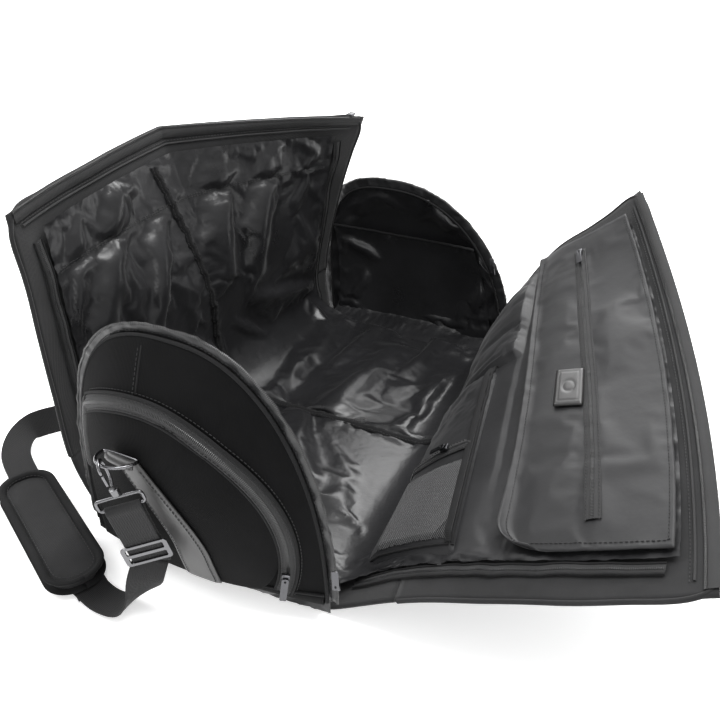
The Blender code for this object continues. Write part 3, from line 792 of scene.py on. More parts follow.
def fold_limits():
    """How high a fold may stand: low where the garment flap lies on the lining."""
    limits = np.full(BARE.shape[:2], 0.026)
    for row, (part, f) in enumerate(ROWS):
        u = RIGHT_FOOT_U + (1 - BORDER - RIGHT_FOOT_U) * f
        if part == 4 and 0.47 < u < 0.87:
            limits[row, :] = 0.0030
        if part == 4 and u >= 0.87:
            limits[row, :] = 0.0032
        if part == 4 and u <= 0.47:
            limits[row, :int(COLUMNS * 0.62)] = 0.0055
        if part == 3:
            limits[row, :int(COLUMNS * 0.62)] = 0.0050
    return limits


def near_seams(points, seams, reach):
    """1 at a seam, falling to 0 a reach away from it, along the grid."""
    step_rows = np.linalg.norm(np.diff(points, axis=0), axis=2).mean()
    step_columns = np.linalg.norm(np.diff(points, axis=1), axis=2).mean()
    distance = np.where(seams > 0.5, 0.0, 1.0)
    for _ in range(int(reach * 3 / min(step_rows, step_columns))):
        grown = distance.copy()
        grown[1:] = np.minimum(grown[1:], distance[:-1] + step_rows)
        grown[:-1] = np.minimum(grown[:-1], distance[1:] + step_rows)
        grown[:, 1:] = np.minimum(grown[:, 1:], distance[:, :-1] + step_columns)
        grown[:, :-1] = np.minimum(grown[:, :-1], distance[:, 1:] + step_columns)
        distance = grown
    return np.exp(-(distance / reach) ** 2)


def ripples(points, scale, seed):
    """ripple() over a grid of points."""
    return np.array([[ripple(p, scale, seed) for p in row] for row in points])


def puckered(points, normals, seams, size, scale):
    """Small gathers that run off a seam and die out."""
    near = near_seams(points, seams, 0.012)
    gathers = np.abs(ripples(points, scale, 7.0)) + 0.5 * np.abs(ripples(points, scale * 1.9, 9.0))
    return points + normals * (near * gathers * size)[..., None]


def loose_cloth(bare, normals, seams, bumps, highest, gather, clear=0.012, **cut):
    """A cloth cut too large for its seams. It starts from the bare surface with bumps on it, which
    stay clear of the seams, and settles. gather is the size and scale of the gathers at its seams."""
    free = 1 - near_seams(bare, seams, clear)
    start = bare + normals * (bumps * free)[..., None]
    laid = lay_on(bare, normals, settle(start, seams, **cut), highest)
    return puckered(laid, normals, seams, *gather)


# %% settle the lining
uneven = 0.0035 * ripples(BARE, 13.0, 3.0) + 0.002 * ripples(BARE, 34.0, 8.0)
LINING = loose_cloth(BARE, BARE_NORMALS, lining_seams(), long_folds() + uneven, fold_limits(),
                     (0.0035, 75.0), grow=0.050, frames=24, bending=0.25)
fold_heights = ((LINING - BARE) * BARE_NORMALS).sum(axis=2)
print("folds stand off up to", round(float(fold_heights.max()) * 1000, 1), "mm, mean",
      round(float(fold_heights.mean()) * 1000, 1), "mm")


# %% [markdown]
# ### Cut into pieces at the joints
#
# The cloth crosses four joints: each wing's foot and each wing's crease. It is cut between them,
# so that each piece crosses one joint at most, and every cut lies where both sides move together.

# %% lining pieces
LEFT_ROOT_ROW = row_at(0, (1 - BORDER - 0.26) / (1 - BORDER - LEFT_FOOT_U))
FLOOR_LEFT_ROW = row_at(2, 0.10)
FLOOR_RIGHT_ROW = row_at(2, 0.92)
RIGHT_ROOT_ROW = row_at(4, (0.20 - RIGHT_FOOT_U) / (1 - BORDER - RIGHT_FOOT_U))
LEFT_FOOT_LINE = ((-0.118, 0.0, 0.012), (-0.188, 0.0, 0.074))
LEFT_CREASE_LINE = ((-0.186, 0.0, 0.150), (-0.190, 0.0, 0.240))
RIGHT_FOOT_LINE = ((0.135, 0.0, 0.010), (0.186, 0.0, 0.058))
RIGHT_CREASE_LINE = ((0.198, 0.0, 0.098), (0.262, 0.0, 0.148))


def lining_piece(name, first, last, material=SATIN):
    return piece_from(name, LINING[first:last + 1], material, "satin_lining")


def build_lining():
    """Cuts the settled cloth into five pieces, each of which crosses one joint at most."""
    floor = lining_piece("lining_floor", FLOOR_LEFT_ROW, FLOOR_RIGHT_ROW)
    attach(floor, "base")
    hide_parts("floor_lining")
    left_foot = lining_piece("lining_left_foot", LEFT_ROOT_ROW, FLOOR_LEFT_ROW)
    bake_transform(left_foot)
    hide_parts("left_wing_lower_lining")
    left = lining_piece("lining_left_wing", 0, LEFT_ROOT_ROW)
    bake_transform(left)
    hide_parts("left_wing_upper_lining")
    right_foot = lining_piece("lining_right_foot", FLOOR_RIGHT_ROW, RIGHT_ROOT_ROW)
    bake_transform(right_foot)
    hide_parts("right_wing_lower_lining")
    right = lining_piece("lining_right_wing", RIGHT_ROOT_ROW, len(ROWS) - 1, SATIN_MATTE)
    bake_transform(right)
    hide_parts("right_wing_upper_lining")
    flats = ((floor, 0.200, 0.57), (left_foot, 0.160, 0.55), (left, 0.30, 0.52),
             (right_foot, 0.13, 0.56), (right, 0.31, 0.52))
    for piece, width, length in flats:
        print(piece.name, "is cut", round(width * 100), "by", round(length * 100), "cm")


build_lining()


# %% [markdown]
# ## Seams, stitches, piping and zips
#
# The same four details finish every edge of the bag. Piping is a cord inside a folded strip. A
# row of stitches is many short raised dashes. A zip is a tape with a coil along it: each tooth is
# a small block, so the coil catches the light the way a real one does.

# %% edge details
STITCH_LONG, STITCH_PITCH = 0.0032, 0.0048
STITCH_RADIUS = 0.00042
TOOTH_LONG, TOOTH_HIGH = 0.0010, 0.0011
TOOTH_PITCH = 0.0019


def dashes(points, normals, size, pitch):
    """Small blocks set along a route; size is (along, across, high)."""
    route = resample(points, pitch)
    marks = np.linspace(0, len(normals) - 1, len(route))
    verts, faces = [], []
    box = [(-1, -1, 0), (1, -1, 0), (1, 1, 0), (-1, 1, 0), (-0.8, -0.7, 1), (0.8, -0.7, 1), (0.8, 0.7, 1),
           (-0.8, 0.7, 1)]
    sides = [(0, 3, 2, 1), (4, 5, 6, 7), (0, 1, 5, 4), (1, 2, 6, 5), (2, 3, 7, 6), (3, 0, 4, 7)]
    for i in range(len(route) - 1):
        low = int(marks[i])
        normal = normals[low].lerp(normals[min(low + 1, len(normals) - 1)], marks[i] - low)
        along = (route[i + 1] - route[i]).normalized()
        normal = (normal - along * normal.dot(along)).normalized()
        side = normal.cross(along)
        start = len(verts)
        for a, b, c in box:
            verts.append(route[i] + along * (a * size[0] / 2) + side * (b * size[1] / 2)
                         + normal * (c * size[2]))
        faces += [tuple(start + k for k in face) for face in sides]
    mesh = bpy.data.meshes.new("dashes")
    mesh.from_pydata([tuple(v) for v in verts], [], faces)
    return mesh


def stitches(name, points, normals, slot_name="outer_fabric"):
    """A row of raised dashes of thread."""
    size = (STITCH_LONG, STITCH_RADIUS * 2, STITCH_RADIUS * 1.6)
    return new_piece(name, dashes(points, normals, size, STITCH_PITCH), THREAD, slot_name)


def coil(name, points, normals, width):
    """A zip's teeth along a route."""
    size = (TOOTH_LONG, width, TOOTH_HIGH)
    return new_piece(name, dashes(points, normals, size, TOOTH_PITCH), TEETH, "zip_tape")


def offset_route(points, normals, sideways, up):
    """The route moved sideways and up from its surface."""
    return [p + side * sideways + normal * up
            for p, (_, side, normal) in zip(points, path_frames(points, normals))]


def zip_pieces(name, points, normals, width):
    """A zip as a list of pieces: its tape, its coil and the ridges of its woven edges."""
    half = width / 2
    profile = [(-half, 0.0), (-half * 0.96, 0.0007), (-0.0042, 0.0008), (-0.0034, 0.0015), (0.0034, 0.0015),
               (0.0042, 0.0008), (half * 0.96, 0.0007), (half, 0.0)]
    tape = band(f"{name}_tape", points, normals, profile, TAPE, "zip_tape")
    teeth = coil(f"{name}_coil", offset_route(points, normals, 0.0, 0.0013), normals, 0.0048)
    pieces = [tape, teeth]
    for sign in (-1, 1):
        route = offset_route(points, normals, sign * half * 0.78, 0.0008)
        pieces.append(stitches(f"{name}_seam", route, normals, "zip_tape"))
    return pieces


# %% [markdown]
# ## Shell: wings, borders and base
#
# The shell is a thick twill. On each wing it shows as a border round the lining and as the whole
# outside. It keeps nearly flat, with slow waves that grow towards the free edges. The borders
# carry a zip that the end panels close on, and the outer edge carries half of the main zip.

# %% shell surfaces
SHELL_THICK = 0.0026
SHELL_COLUMNS = 90
WING_LONG = 0.41        # a wing's length from foot to edge, for the count of rows


def shell_wave(wing, u, v):
    """Slow waves in the shell, strongest at the free edges."""
    point = wing.flat(min(u, 1.0), v)
    free = min(1.0, max(0.0, u)) ** 1.5
    return free * (0.0030 * ripple(point, 7.0, 11.0) + 0.0016 * ripple(point, 19.0, 4.0))


def on_shell(wing, u, v, height=0.0):
    """A point over the waved shell."""
    return wing.at(u, v, height + shell_wave(wing, u, v))


def shell_rows(wing, first, last):
    """Rows of the shell from one u to another."""
    rows = max(3, int((last - first) * WING_LONG / 0.0075))
    points = []
    for i in range(rows + 1):
        u = first + (last - first) * i / rows
        points.append([on_shell(wing, u, j / SHELL_COLUMNS) for j in range(SHELL_COLUMNS + 1)])
    return points


def foot_rows(wing, side):
    """The shell from under the base up to the wing's foot."""
    rows = []
    for i in range(7):
        f = i / 6
        row = []
        for j in range(SHELL_COLUMNS + 1):
            v = j / SHELL_COLUMNS
            top = on_shell(wing, 0.03, v)
            y = (v - 0.5) * LENGTH
            under = Vector((side * 0.128, y, 0.0022))
            way_up = (on_shell(wing, 0.06, v) - top).normalized()
            row.append(bend_between(under, Vector((side, 0, 0)) * 0.9, top, way_up, f))
        rows.append(row)
    return rows[:-1]


def build_shell(name, wing, side, split, foot_line, crease_line):
    """A wing's shell in two pieces, split between its two joints."""
    foot = foot_rows(wing, side) + shell_rows(wing, 0.03, split)
    upper = shell_rows(wing, split, 1.0)
    for part, rows, line, bodies in (
            ("foot", foot, foot_line, ("base", f"{name}_wing_lower")),
            ("wing", upper, crease_line, (f"{name}_wing_lower", f"{name}_wing_upper"))):
        piece = new_piece(f"{name}_shell_{part}", grid_mesh(part, rows), SHELL_FABRIC_PAINTED_LIGHT, "outer_fabric")
        thicken(piece, SHELL_THICK)
        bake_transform(piece)
    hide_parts(f"{name}_wing_lower_panel")
    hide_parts(f"{name}_wing_upper_panel")


build_shell("left", LEFT, -1, 0.26, LEFT_FOOT_LINE, LEFT_CREASE_LINE)
build_shell("right", RIGHT, 1, 0.20, RIGHT_FOOT_LINE, RIGHT_CREASE_LINE)


# %% wing edges: piping, main zip halves and border zips
def wing_route(wing, spots, height):
    """A smooth route over (u, v) spots and the normals along it."""
    dense = [spline([Vector((u, v)) for u, v in spots], i / 200) for i in range(201)]
    points = [on_shell(wing, p.x, p.y, height) for p in dense]
    normals = [wing.normal(p.x, p.y) for p in dense]
    even = resample(points, 0.004)
    return even, matched(normals, len(even))


def edge_spots(inset_u, inset_v, low):
    """Spots round a wing: up the front edge, along the outer edge and down the rear edge."""
    top = 1 - inset_u
    return ([(low + (top - 0.05 - low) * i / 6, inset_v) for i in range(7)]
            + [(top, inset_v + 0.03)] + [(top, 0.1 + 0.8 * i / 8) for i in range(9)]
            + [(top, 1 - inset_v - 0.03)]
            + [(top - 0.05 - (top - 0.05 - low) * i / 6, 1 - inset_v) for i in range(7)])


BORDER_TAPE = [(-0.0065, -0.001), (-0.006, 0.0010), (0.006, 0.0010), (0.0065, -0.001)]
HALF_ZIP_TAPE = [(-0.0075, -0.0005), (-0.007, 0.0012), (0.006, 0.0012), (0.007, -0.0003)]
MAIN_ZIP_U = 0.988      # the half zip on a wing's outer edge
ZIP_FOLD_U = 0.955      # the fold of cloth beside it


def border_zip(name, wing, v, first, last):
    """One half of the zip that an end panel closes on: a tape, its coil and two edges, all a bit wavy."""
    count = max(3, int((last - first) * 26))
    spots = [(first + (last - first) * i / count, v) for i in range(count + 1)]
    spots = [(u, v + 0.0055 * ripple((u, v, 0.0), 22.0, 6.0)) for u, v in spots]
    route, normals = wing_route(wing, spots, 0.0030)
    route = [p + n * (0.0016 * ripple(p, 30.0, 3.0)) for p, n in zip(route, normals)]
    tape = band("tape", route, normals, BORDER_TAPE, TAPE, "zip_tape")
    teeth = coil("coil", offset_route(route, normals, 0.0, 0.001), normals, 0.0030)
    edges = [piping("edge", offset_route(route, normals, side * 0.0062, 0.0010), 0.0013)
             for side in (-1, 1)]
    return join(name, [tape, teeth] + edges)


def build_wing_edges(name, wing, low):
    """A wing's rim, its half of the main zip, and the border zips for the end panels."""
    upper = f"{name}_wing_upper"
    rim, _ = wing_route(wing, edge_spots(0.0, 0.0, low), 0.0)
    rim_cord = piping(f"{name}_rim_piping", rim, 0.0026, SHELL_FABRIC_PAINTED_LIGHT)
    outer, outer_normals = wing_route(wing, [(MAIN_ZIP_U, 0.012 + 0.976 * i / 10) for i in range(11)], 0.0022)
    half_zip = band(f"{name}_main_zip_tape", outer, outer_normals, HALF_ZIP_TAPE, TAPE, "zip_tape")
    teeth_route = offset_route(outer, outer_normals, 0.0050, 0.0012)
    teeth = coil(f"{name}_main_zip_coil", teeth_route, outer_normals, 0.0030)
    inner, inner_normals = wing_route(wing, [(ZIP_FOLD_U, 0.03 + 0.94 * i / 10) for i in range(11)], 0.0024)
    fold = piping(f"{name}_zip_fold", inner, 0.0013, TAPE)
    seam = stitches(f"{name}_zip_seam", offset_route(inner, inner_normals, 0.004, 0.0004), inner_normals)
    whole = join(f"{name}_edge_zip", [half_zip, teeth, fold, seam])
    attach(whole, upper)
    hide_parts(f"{name}_zip_tape")
    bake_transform(rim_cord)
    for end, v in (("front", BORDER - 0.014), ("rear", 1 - BORDER + 0.014)):
        border = border_zip(f"{name}_{end}_border_zip", wing, v, low, 0.90)
        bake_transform(border)
        root = border_zip(f"{name}_{end}_border_root", wing, v, 0.03, low)
        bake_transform(root)


build_wing_edges("left", LEFT, 0.27)
build_wing_edges("right", RIGHT, 0.21)


# %% lining seams: the piped middle seam and the channel
def lining_route(rows, columns, height):
    """Points and normals over cells of the settled lining."""
    points = [Vector(LINING[i, j]) + Vector(BARE_NORMALS[i, j]) * height for i, j in zip(rows, columns)]
    normals = [Vector(BARE_NORMALS[i, j]) for i, j in zip(rows, columns)]
    return points, normals


SEAM_STRIP = [(-0.0062, -0.0016), (-0.0050, 0.0004), (-0.0030, 0.0007), (-0.0016, 0.0026),
              (0.0016, 0.0026), (0.0030, 0.0007), (0.0050, 0.0004), (0.0062, -0.0016)]
SEAM_SPANS = (      # piece, first row, last row
    ("floor", FLOOR_LEFT_ROW, FLOOR_RIGHT_ROW),
    ("left_foot", LEFT_ROOT_ROW, FLOOR_LEFT_ROW),
    ("left_wing", 2, LEFT_ROOT_ROW),
    ("right_foot", FLOOR_RIGHT_ROW, row_at(4, 0.0)),
)


def build_middle_seam():
    """The piped seam across the bag: a raised strip between two rows of stitches."""
    pieces = {}
    for name, first, last in SEAM_SPANS:
        rows = list(range(first, last + 1))
        route, normals = lining_route(rows, [seam_column(r) for r in rows], 0.0012)
        strip = band("strip", route, normals, SEAM_STRIP, BINDING, "satin_lining")
        rows_of_thread = [stitches("thread", offset_route(route, normals, side * 0.0042, 0.0006), normals)
                          for side in (-1, 1)]
        pieces[name] = join(f"middle_seam_{name}", [strip] + rows_of_thread)
    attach(pieces["floor"], "base")
    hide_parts("floor_piping")
    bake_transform(pieces["left_foot"])
    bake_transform(pieces["left_wing"])
    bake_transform(pieces["right_foot"])


def build_channel_seam():
    """Two rows of stitches along the channel under the left wing's edge."""
    columns = list(range(2, COLUMNS - 2))
    route, normals = lining_route([CHANNEL_ROW] * len(columns), columns, 0.0006)
    seam = join("channel_seam", [stitches("thread", route, normals),
                                 stitches("thread", offset_route(route, normals, 0.003, 0.0), normals)])
    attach(seam, "left_wing_upper")


build_middle_seam()
build_channel_seam()


# %% base
def build_base():
    """The outside of the base: a flat bottom that turns up into the end panels' feet."""
    rows = []
    for i in range(41):
        f = -1 + 2 * i / 40
        y = f * 0.300
        lift = 0.0016 + 0.013 * max(0.0, (abs(f) - 0.93) / 0.07) ** 2
        bow = 0.004 * max(0.0, (-f - 0.8) / 0.2)
        row = []
        for j in range(41):
            x = -0.135 + 0.27 * j / 40
            middle = 1 - (x / 0.135) ** 2
            row.append(Vector((x, y + bow * middle, lift)))
        rows.append(row)
    bottom = new_piece("base_shell", grid_mesh("base", rows), SHELL_FABRIC_PAINTED_LIGHT, "outer_fabric")
    thicken(bottom, SHELL_THICK, offset=-1.0)
    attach(bottom, "base")
    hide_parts("base_panel")


build_base()


# %% [markdown]
# ## End panels
#
# Each end is a D that stands up from the floor and bulges outward. Its shell is a stiff twill, its
# lining a loose satin, and a puckered zip tape stands round its rim. A short gusset joins its foot
# to the floor in a smooth bend.

# %% the D shape
END_PLANE = 0.306
END_FOOT = 0.009
END_POWER = 2.6


class End:
    """A D-shaped end panel: x across, z up from its foot. outward is -1 at the front, 1 at the rear."""

    def __init__(self, name, height, bulge, lean, outward, trim):
        self.name, self.height, self.bulge, self.outward = name, height, bulge, outward
        self.lean = lean        # how far the top leans to one side
        self.trim = trim        # how high the shell's cut foot is, at the left and at the right

    def place(self, x, z, out=0.0):
        reach = ((abs(x) / HALF_W) ** END_POWER + (max(z, 0.0) / self.height) ** END_POWER) ** (1 / END_POWER)
        foot = 0.12 + 0.88 * min(1.0, max(z, 0.0) / 0.22)
        depth = self.bulge * (1 - min(reach, 1.0) ** 2) * foot + out
        lean = self.lean * (z / self.height) ** 2
        return Vector((x + lean, self.outward * (END_PLANE + depth), END_FOOT + z))

    def shown(self, x, z, out=0.0):
        """The same, with x as it shows after the lean."""
        return self.place(x - self.lean * (z / self.height) ** 2, z, out)

    def foot(self, x):
        return self.trim[0] + (self.trim[1] - self.trim[0]) * (x / HALF_W + 1) / 2

    def top(self, x):
        return self.height * (1 - (abs(x) / HALF_W) ** END_POWER) ** (1 / END_POWER)

    def rim(self, t, radial=0.0, out=0.0):
        """A point round the outline: t 0 at the right foot, 1 at the left foot."""
        angle = math.pi * t
        c, s = math.cos(angle), math.sin(angle)
        x = HALF_W * math.copysign(abs(c) ** (2 / END_POWER), c)
        z = self.height * abs(s) ** (2 / END_POWER)
        way = Vector((x / HALF_W ** 2, 0.0, z / self.height ** 2)).normalized()
        return self.place(x, z, out) + way * radial

    def normal(self, x, z):
        step = 0.003
        across = self.shown(x + step, z) - self.shown(x - step, z)
        up = self.shown(x, z + step) - self.shown(x, z - step)
        normal = across.cross(up).normalized()
        return normal if normal.y * self.outward > 0 else -normal

    def grid(self, columns, rows, out, trimmed=False):
        """Points over the whole D, from its foot or from where the shell's foot is cut."""
        found = []
        for j in range(rows + 1):
            row = []
            for i in range(columns + 1):
                x = HALF_W * math.sin(math.pi / 2 * 0.97 * (-1 + 2 * i / columns))
                top = self.top(x)
                low = min(self.foot(x), top - 0.002) if trimmed else 0.0
                row.append(self.place(x, low + (top - low) * j / rows, out))
            found.append(row)
        return found


FRONT = End("front", 0.305, 0.075, -0.018, -1, (0.010, 0.032))
REAR = End("rear", 0.252, 0.040, -0.050, 1, (0.0, 0.0))
SHELL_OUT = 0.0060


def build_end_shell(end):
    """The stiff outer panel of a D, with slow waves."""
    rows = end.grid(88, 76, SHELL_OUT, trimmed=True)
    for row in rows:
        for k, point in enumerate(row):
            soft = 0.0018 * ripple(point, 9.0, 21.0) + 0.0009 * ripple(point, 24.0, 5.0)
            row[k] = point + Vector((0.0, end.outward * soft, 0.0))
    shell = new_piece(f"{end.name}_end_shell", grid_mesh("shell", rows), PANEL_FABRIC_PAINTED_SHADE, "outer_fabric")
    thicken(shell, SHELL_THICK)
    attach(shell, f"{end.name}_end")
    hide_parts(f"{end.name}_end_panel")


END_FOLDS = {       # (x, z) to (x, z), half width, height
    "rear": (((-0.135, 0.034), (0.135, 0.030), 0.008, 0.010),
             ((-0.130, 0.200), (-0.100, 0.120), 0.014, 0.008),
             ((0.020, 0.245), (0.060, 0.190), 0.016, 0.009),
             ((0.110, 0.190), (0.125, 0.060), 0.012, 0.010),
             ((-0.060, 0.240), (-0.020, 0.200), 0.012, 0.006)),
    "front": (((0.145, 0.020), (0.120, 0.120), 0.012, 0.014),
              ((0.060, 0.260), (0.020, 0.180), 0.016, 0.008),
              ((-0.100, 0.200), (-0.060, 0.110), 0.016, 0.008)),
}


def build_end_lining(end):
    """The loose satin of a D, settled between its edges."""
    bare = as_array(end.grid(74, 64, 0.0012))
    folds = ridge_heights(bare[..., 0], bare[..., 2] - END_FOOT, END_FOLDS[end.name])
    uneven = 0.003 * ripples(bare, 17.0, 31.0) + 0.0015 * ripples(bare, 40.0, 12.0)
    laid = loose_cloth(bare, grid_normals(bare, 1, -end.outward), edge_seams(bare), folds + uneven, 0.018,
                       (0.0028, 75.0), clear=0.010, grow=0.055, frames=18, bending=0.2)
    lining = piece_from(f"{end.name}_end_satin", laid, SATIN, "satin_lining")
    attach(lining, f"{end.name}_end")
    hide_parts(f"{end.name}_end_lining")


def build_rim(end, width):
    """The puckered zip tape round a D, the piping under it and the coil on its edge."""
    count = 300
    tape_rows, cord_points, edge_points, edge_normals = [], [], [], []
    for i in range(count + 1):
        t = 0.012 + 0.976 * i / count
        row = []
        for k in range(6):
            f = k / 5
            spot = end.rim(t, -0.002 + width * f, 0.0)
            ruffle = (0.0017 * ripple(spot, 60.0, 2.0) + 0.0011 * ripple(spot, 120.0, 9.0)) * (0.35 + f)
            row.append(spot + Vector((0.0, end.outward * (0.0022 + ruffle), 0.0)))
        tape_rows.append(row)
        cord_points.append(end.rim(t, 0.0, SHELL_OUT + 0.0008))
        edge_points.append(row[-1])
        edge_normals.append(Vector((0.0, float(end.outward), 0.0)))
    tape = new_piece("tape", grid_mesh("tape", tape_rows), RIM_SATIN, "zip_tape")
    thicken(tape, 0.0012)
    cord = piping("cord", resample(cord_points, 0.003), 0.0021)
    inner_cord = piping("cord", resample([end.rim(0.012 + 0.976 * i / count, -0.001, -0.001)
                                          for i in range(count + 1)], 0.003), 0.0019)
    teeth = coil("teeth", edge_points, edge_normals, 0.0032)
    seam_points = [row[2] + Vector((0, end.outward * 0.0009, 0)) for row in tape_rows]
    seam = stitches("thread", seam_points, edge_normals)
    rim = join(f"{end.name}_rim_zip", [tape, cord, inner_cord, teeth, seam])
    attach(rim, f"{end.name}_end")
    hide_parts(f"{end.name}_zip_tape")


def build_gusset(end):
    """Puffed satin from the floor up to the D's foot."""
    rows = []
    for j in range(15):
        f = j / 14
        row = []
        for i in range(101):
            x = -0.143 + 0.286 * i / 100
            start = Vector((x, end.outward * 0.262, FLOOR_TOP + 0.0015))
            finish = end.place(x, 0.030, -0.0030)
            spot = bend_between(start, Vector((0, end.outward, 0)), finish, Vector((0, 0, 1)) * 0.8, f)
            puff = math.sin(math.pi * f) * (0.0030 + 0.0030 * ripple(spot, 32.0, 14.0)
                                            + 0.0026 * abs(ripple(spot, 75.0, 6.0)))
            row.append(spot + Vector((0.0, -end.outward * 0.7, 0.7)) * puff)
        rows.append(row)
    gusset = new_piece(f"{end.name}_gusset", grid_mesh("gusset", rows), SATIN, "satin_lining")
    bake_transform(gusset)


def build_front_lip():
    """The base's side strip, which turns up outside the front panel's foot, with piping on its edge."""
    rows = []
    for j in range(11):
        f = j / 10
        row = []
        for i in range(81):
            x = (HALF_W - 0.0024 - 0.0100 * (1 - f)) * (-1 + i / 40)
            low = -0.0070
            z = low + (FRONT.foot(x) + 0.0030 - low) * f
            tuck = 0.027 * (1 - f) ** 1.6
            row.append(FRONT.place(x, z, SHELL_OUT + 0.0014 - tuck + 0.0022 * math.sin(math.pi * f)))
        rows.append(row)
    strip = new_piece("strip", grid_mesh("strip", rows), PANEL_FABRIC_PAINTED_SHADE, "outer_fabric")
    thicken(strip, 0.0022)
    cord = piping("cord", resample([p + Vector((0.0, -0.0010, 0.0008)) for p in rows[-1]], 0.003), 0.0017)
    lip = join("base_front_lip", [strip, cord])
    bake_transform(lip)


for end_panel in (FRONT, REAR):
    build_end_shell(end_panel)
    build_end_lining(end_panel)
    build_gusset(end_panel)
build_front_lip()
build_rim(FRONT, 0.0125)
build_rim(REAR, 0.0165)


# %% [markdown]
# ### Pocket on the front end
#
# The pocket is cut from the same twill and stands off the D a little. Its zip follows about half a
# circle, kept inside the D, between two pipings. Above it the D has a short seam where its halves
# meet.

# %% front pocket
POCKET_CENTRE = (-0.030, 0.090)
POCKET_RADIUS = 0.150
POCKET_OUT = 0.0112
ZIP_ANGLES = (math.radians(-22), math.radians(168))


def pocket_arc(radius):
    """Points and normals on a circle round the pocket's centre, kept inside the D."""
    points, normals = [], []
    for i in range(151):
        angle = ZIP_ANGLES[0] + (ZIP_ANGLES[1] - ZIP_ANGLES[0]) * i / 150
        x = POCKET_CENTRE[0] + radius * math.cos(angle)
        z = POCKET_CENTRE[1] + radius * math.sin(angle)
        limit = 0.970 * HALF_W * max(0.0, 1 - (max(z, 0) / FRONT.height) ** END_POWER) ** (1 / END_POWER)
        x = max(x, -limit + 0.012 + FRONT.lean * (z / FRONT.height) ** 2)
        points.append(FRONT.shown(x, z, POCKET_OUT))
        normals.append(FRONT.normal(x, z))
    return points, normals


def build_front_pocket():
    """The pocket's panel, then its zip with a piping on each side."""
    rows = []
    for i in range(61):
        angle = math.pi * i / 60
        way = (math.cos(angle), math.sin(angle))
        along = way[0] * POCKET_CENTRE[0] + way[1] * POCKET_CENTRE[1]
        off = POCKET_CENTRE[0] ** 2 + POCKET_CENTRE[1] ** 2 - along ** 2
        reach = along + math.sqrt((POCKET_RADIUS - 0.006) ** 2 - off)
        shares = (abs(way[0]) / HALF_W) ** END_POWER + (way[1] / FRONT.height) ** END_POWER
        edge = shares ** (-1 / END_POWER)
        reach = min(reach, edge * 0.91)
        row = []
        for k in range(33):
            r = k / 32
            x, z = way[0] * reach * r, way[1] * reach * r
            z += FRONT.foot(x) * (1 - z / FRONT.height)
            belly = 0.0035 * (1 - r ** 4) + 0.0012 * ripple((x, 0, z), 14.0, 2.0)
            row.append(FRONT.shown(x, z, POCKET_OUT - 0.0010 + belly))
        rows.append(row)
    panel = new_piece("front_pocket_cloth", grid_mesh("pocket", rows), PANEL_FABRIC_PAINTED_SHADE, "outer_fabric")
    thicken(panel, 0.0024)
    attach(panel, "front_end")
    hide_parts("front_pocket_panel")
    route, normals = pocket_arc(POCKET_RADIUS)
    route = resample(route, 0.003)
    pieces = zip_pieces("pocket_zip", route, matched(normals, len(route)), 0.0165)
    for radius, size in ((POCKET_RADIUS + 0.0092, 0.0019), (POCKET_RADIUS - 0.0088, 0.0016)):
        edge_route, _ = pocket_arc(radius)
        pieces.append(piping("edge", resample(edge_route, 0.003), size))
    outer_seam, seam_normals = pocket_arc(POCKET_RADIUS + 0.0125)
    outer_seam = [p - n * 0.0032 for p, n in zip(outer_seam, seam_normals)]
    pieces.append(stitches("thread", outer_seam, seam_normals))
    whole = join("front_pocket_zip_line", pieces)
    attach(whole, "front_end")
    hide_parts("front_pocket_zip_tape")


def build_top_seam():
    """The short seam near the top of the front D."""
    seam_x = -0.040
    heights = np.linspace(0.250, 0.296, 14)
    points = [FRONT.shown(seam_x, z, SHELL_OUT + 0.0016) for z in heights]
    normals = [FRONT.normal(seam_x, z) for z in heights]
    cord = piping("cord", points, 0.0011)
    thread = stitches("thread", offset_route(points, normals, 0.004, 0.0), normals)
    seam = join("front_top_seam", [cord, thread])
    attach(seam, "front_end")


build_front_pocket()
build_top_seam()


# %% rear pocket band with its elastic
REAR_POCKET_FOLDS = (
    ((-0.120, 0.150), (-0.060, 0.110), 0.012, 0.010),
    ((-0.090, 0.100), (-0.110, 0.040), 0.012, 0.010),
    ((-0.020, 0.090), (0.030, 0.070), 0.014, 0.007),
    ((0.115, 0.150), (0.120, 0.060), 0.010, 0.009),
    ((0.040, 0.140), (0.070, 0.110), 0.012, 0.006),
)


def build_rear_pocket():
    """A gathered band across the rear end, with a cord of elastic in its hem."""
    rows = []
    for j in range(37):
        level = j / 36
        row = []
        for i in range(91):
            a = i / 90
            x = (0.5 - a) * 1.84 * HALF_W * (1 - 0.13 * level)
            sag = 0.006 * math.sin(math.pi * a) * level
            row.append(REAR.place(x, 0.006 + 0.170 * level - sag, -0.0055))
        rows.append(row)
    bare = as_array(rows)
    folds = ridge_heights(bare[..., 0], bare[..., 2] - END_FOOT, REAR_POCKET_FOLDS)
    laid = loose_cloth(bare, grid_normals(bare, 1, -1), edge_seams(bare),
                       folds + 0.0028 * ripples(bare, 22.0, 40.0), 0.016, (0.0026, 95.0), clear=0.008,
                       grow=0.06, frames=16, bending=0.2)
    pocket = piece_from("rear_pocket_satin", laid, SATIN, "satin_lining")
    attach(pocket, "rear_end")
    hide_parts("rear_pocket_band")
    hem = [Vector(p) + Vector((0, -0.0012, 0.0005)) for p in laid[-1]]
    cord = piping("rear_pocket_hem", hem, 0.0024)
    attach(cord, "rear_end")
    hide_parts("rear_pocket_elastic")


build_rear_pocket()


# %% [markdown]
# ## Garment flap on the right wing
#
# The flap holds a suit down. It is sewn along one side, its other edge is free, and its lower free
# corner is round and curls up a little. It carries a long zip and a small stitched leather patch.

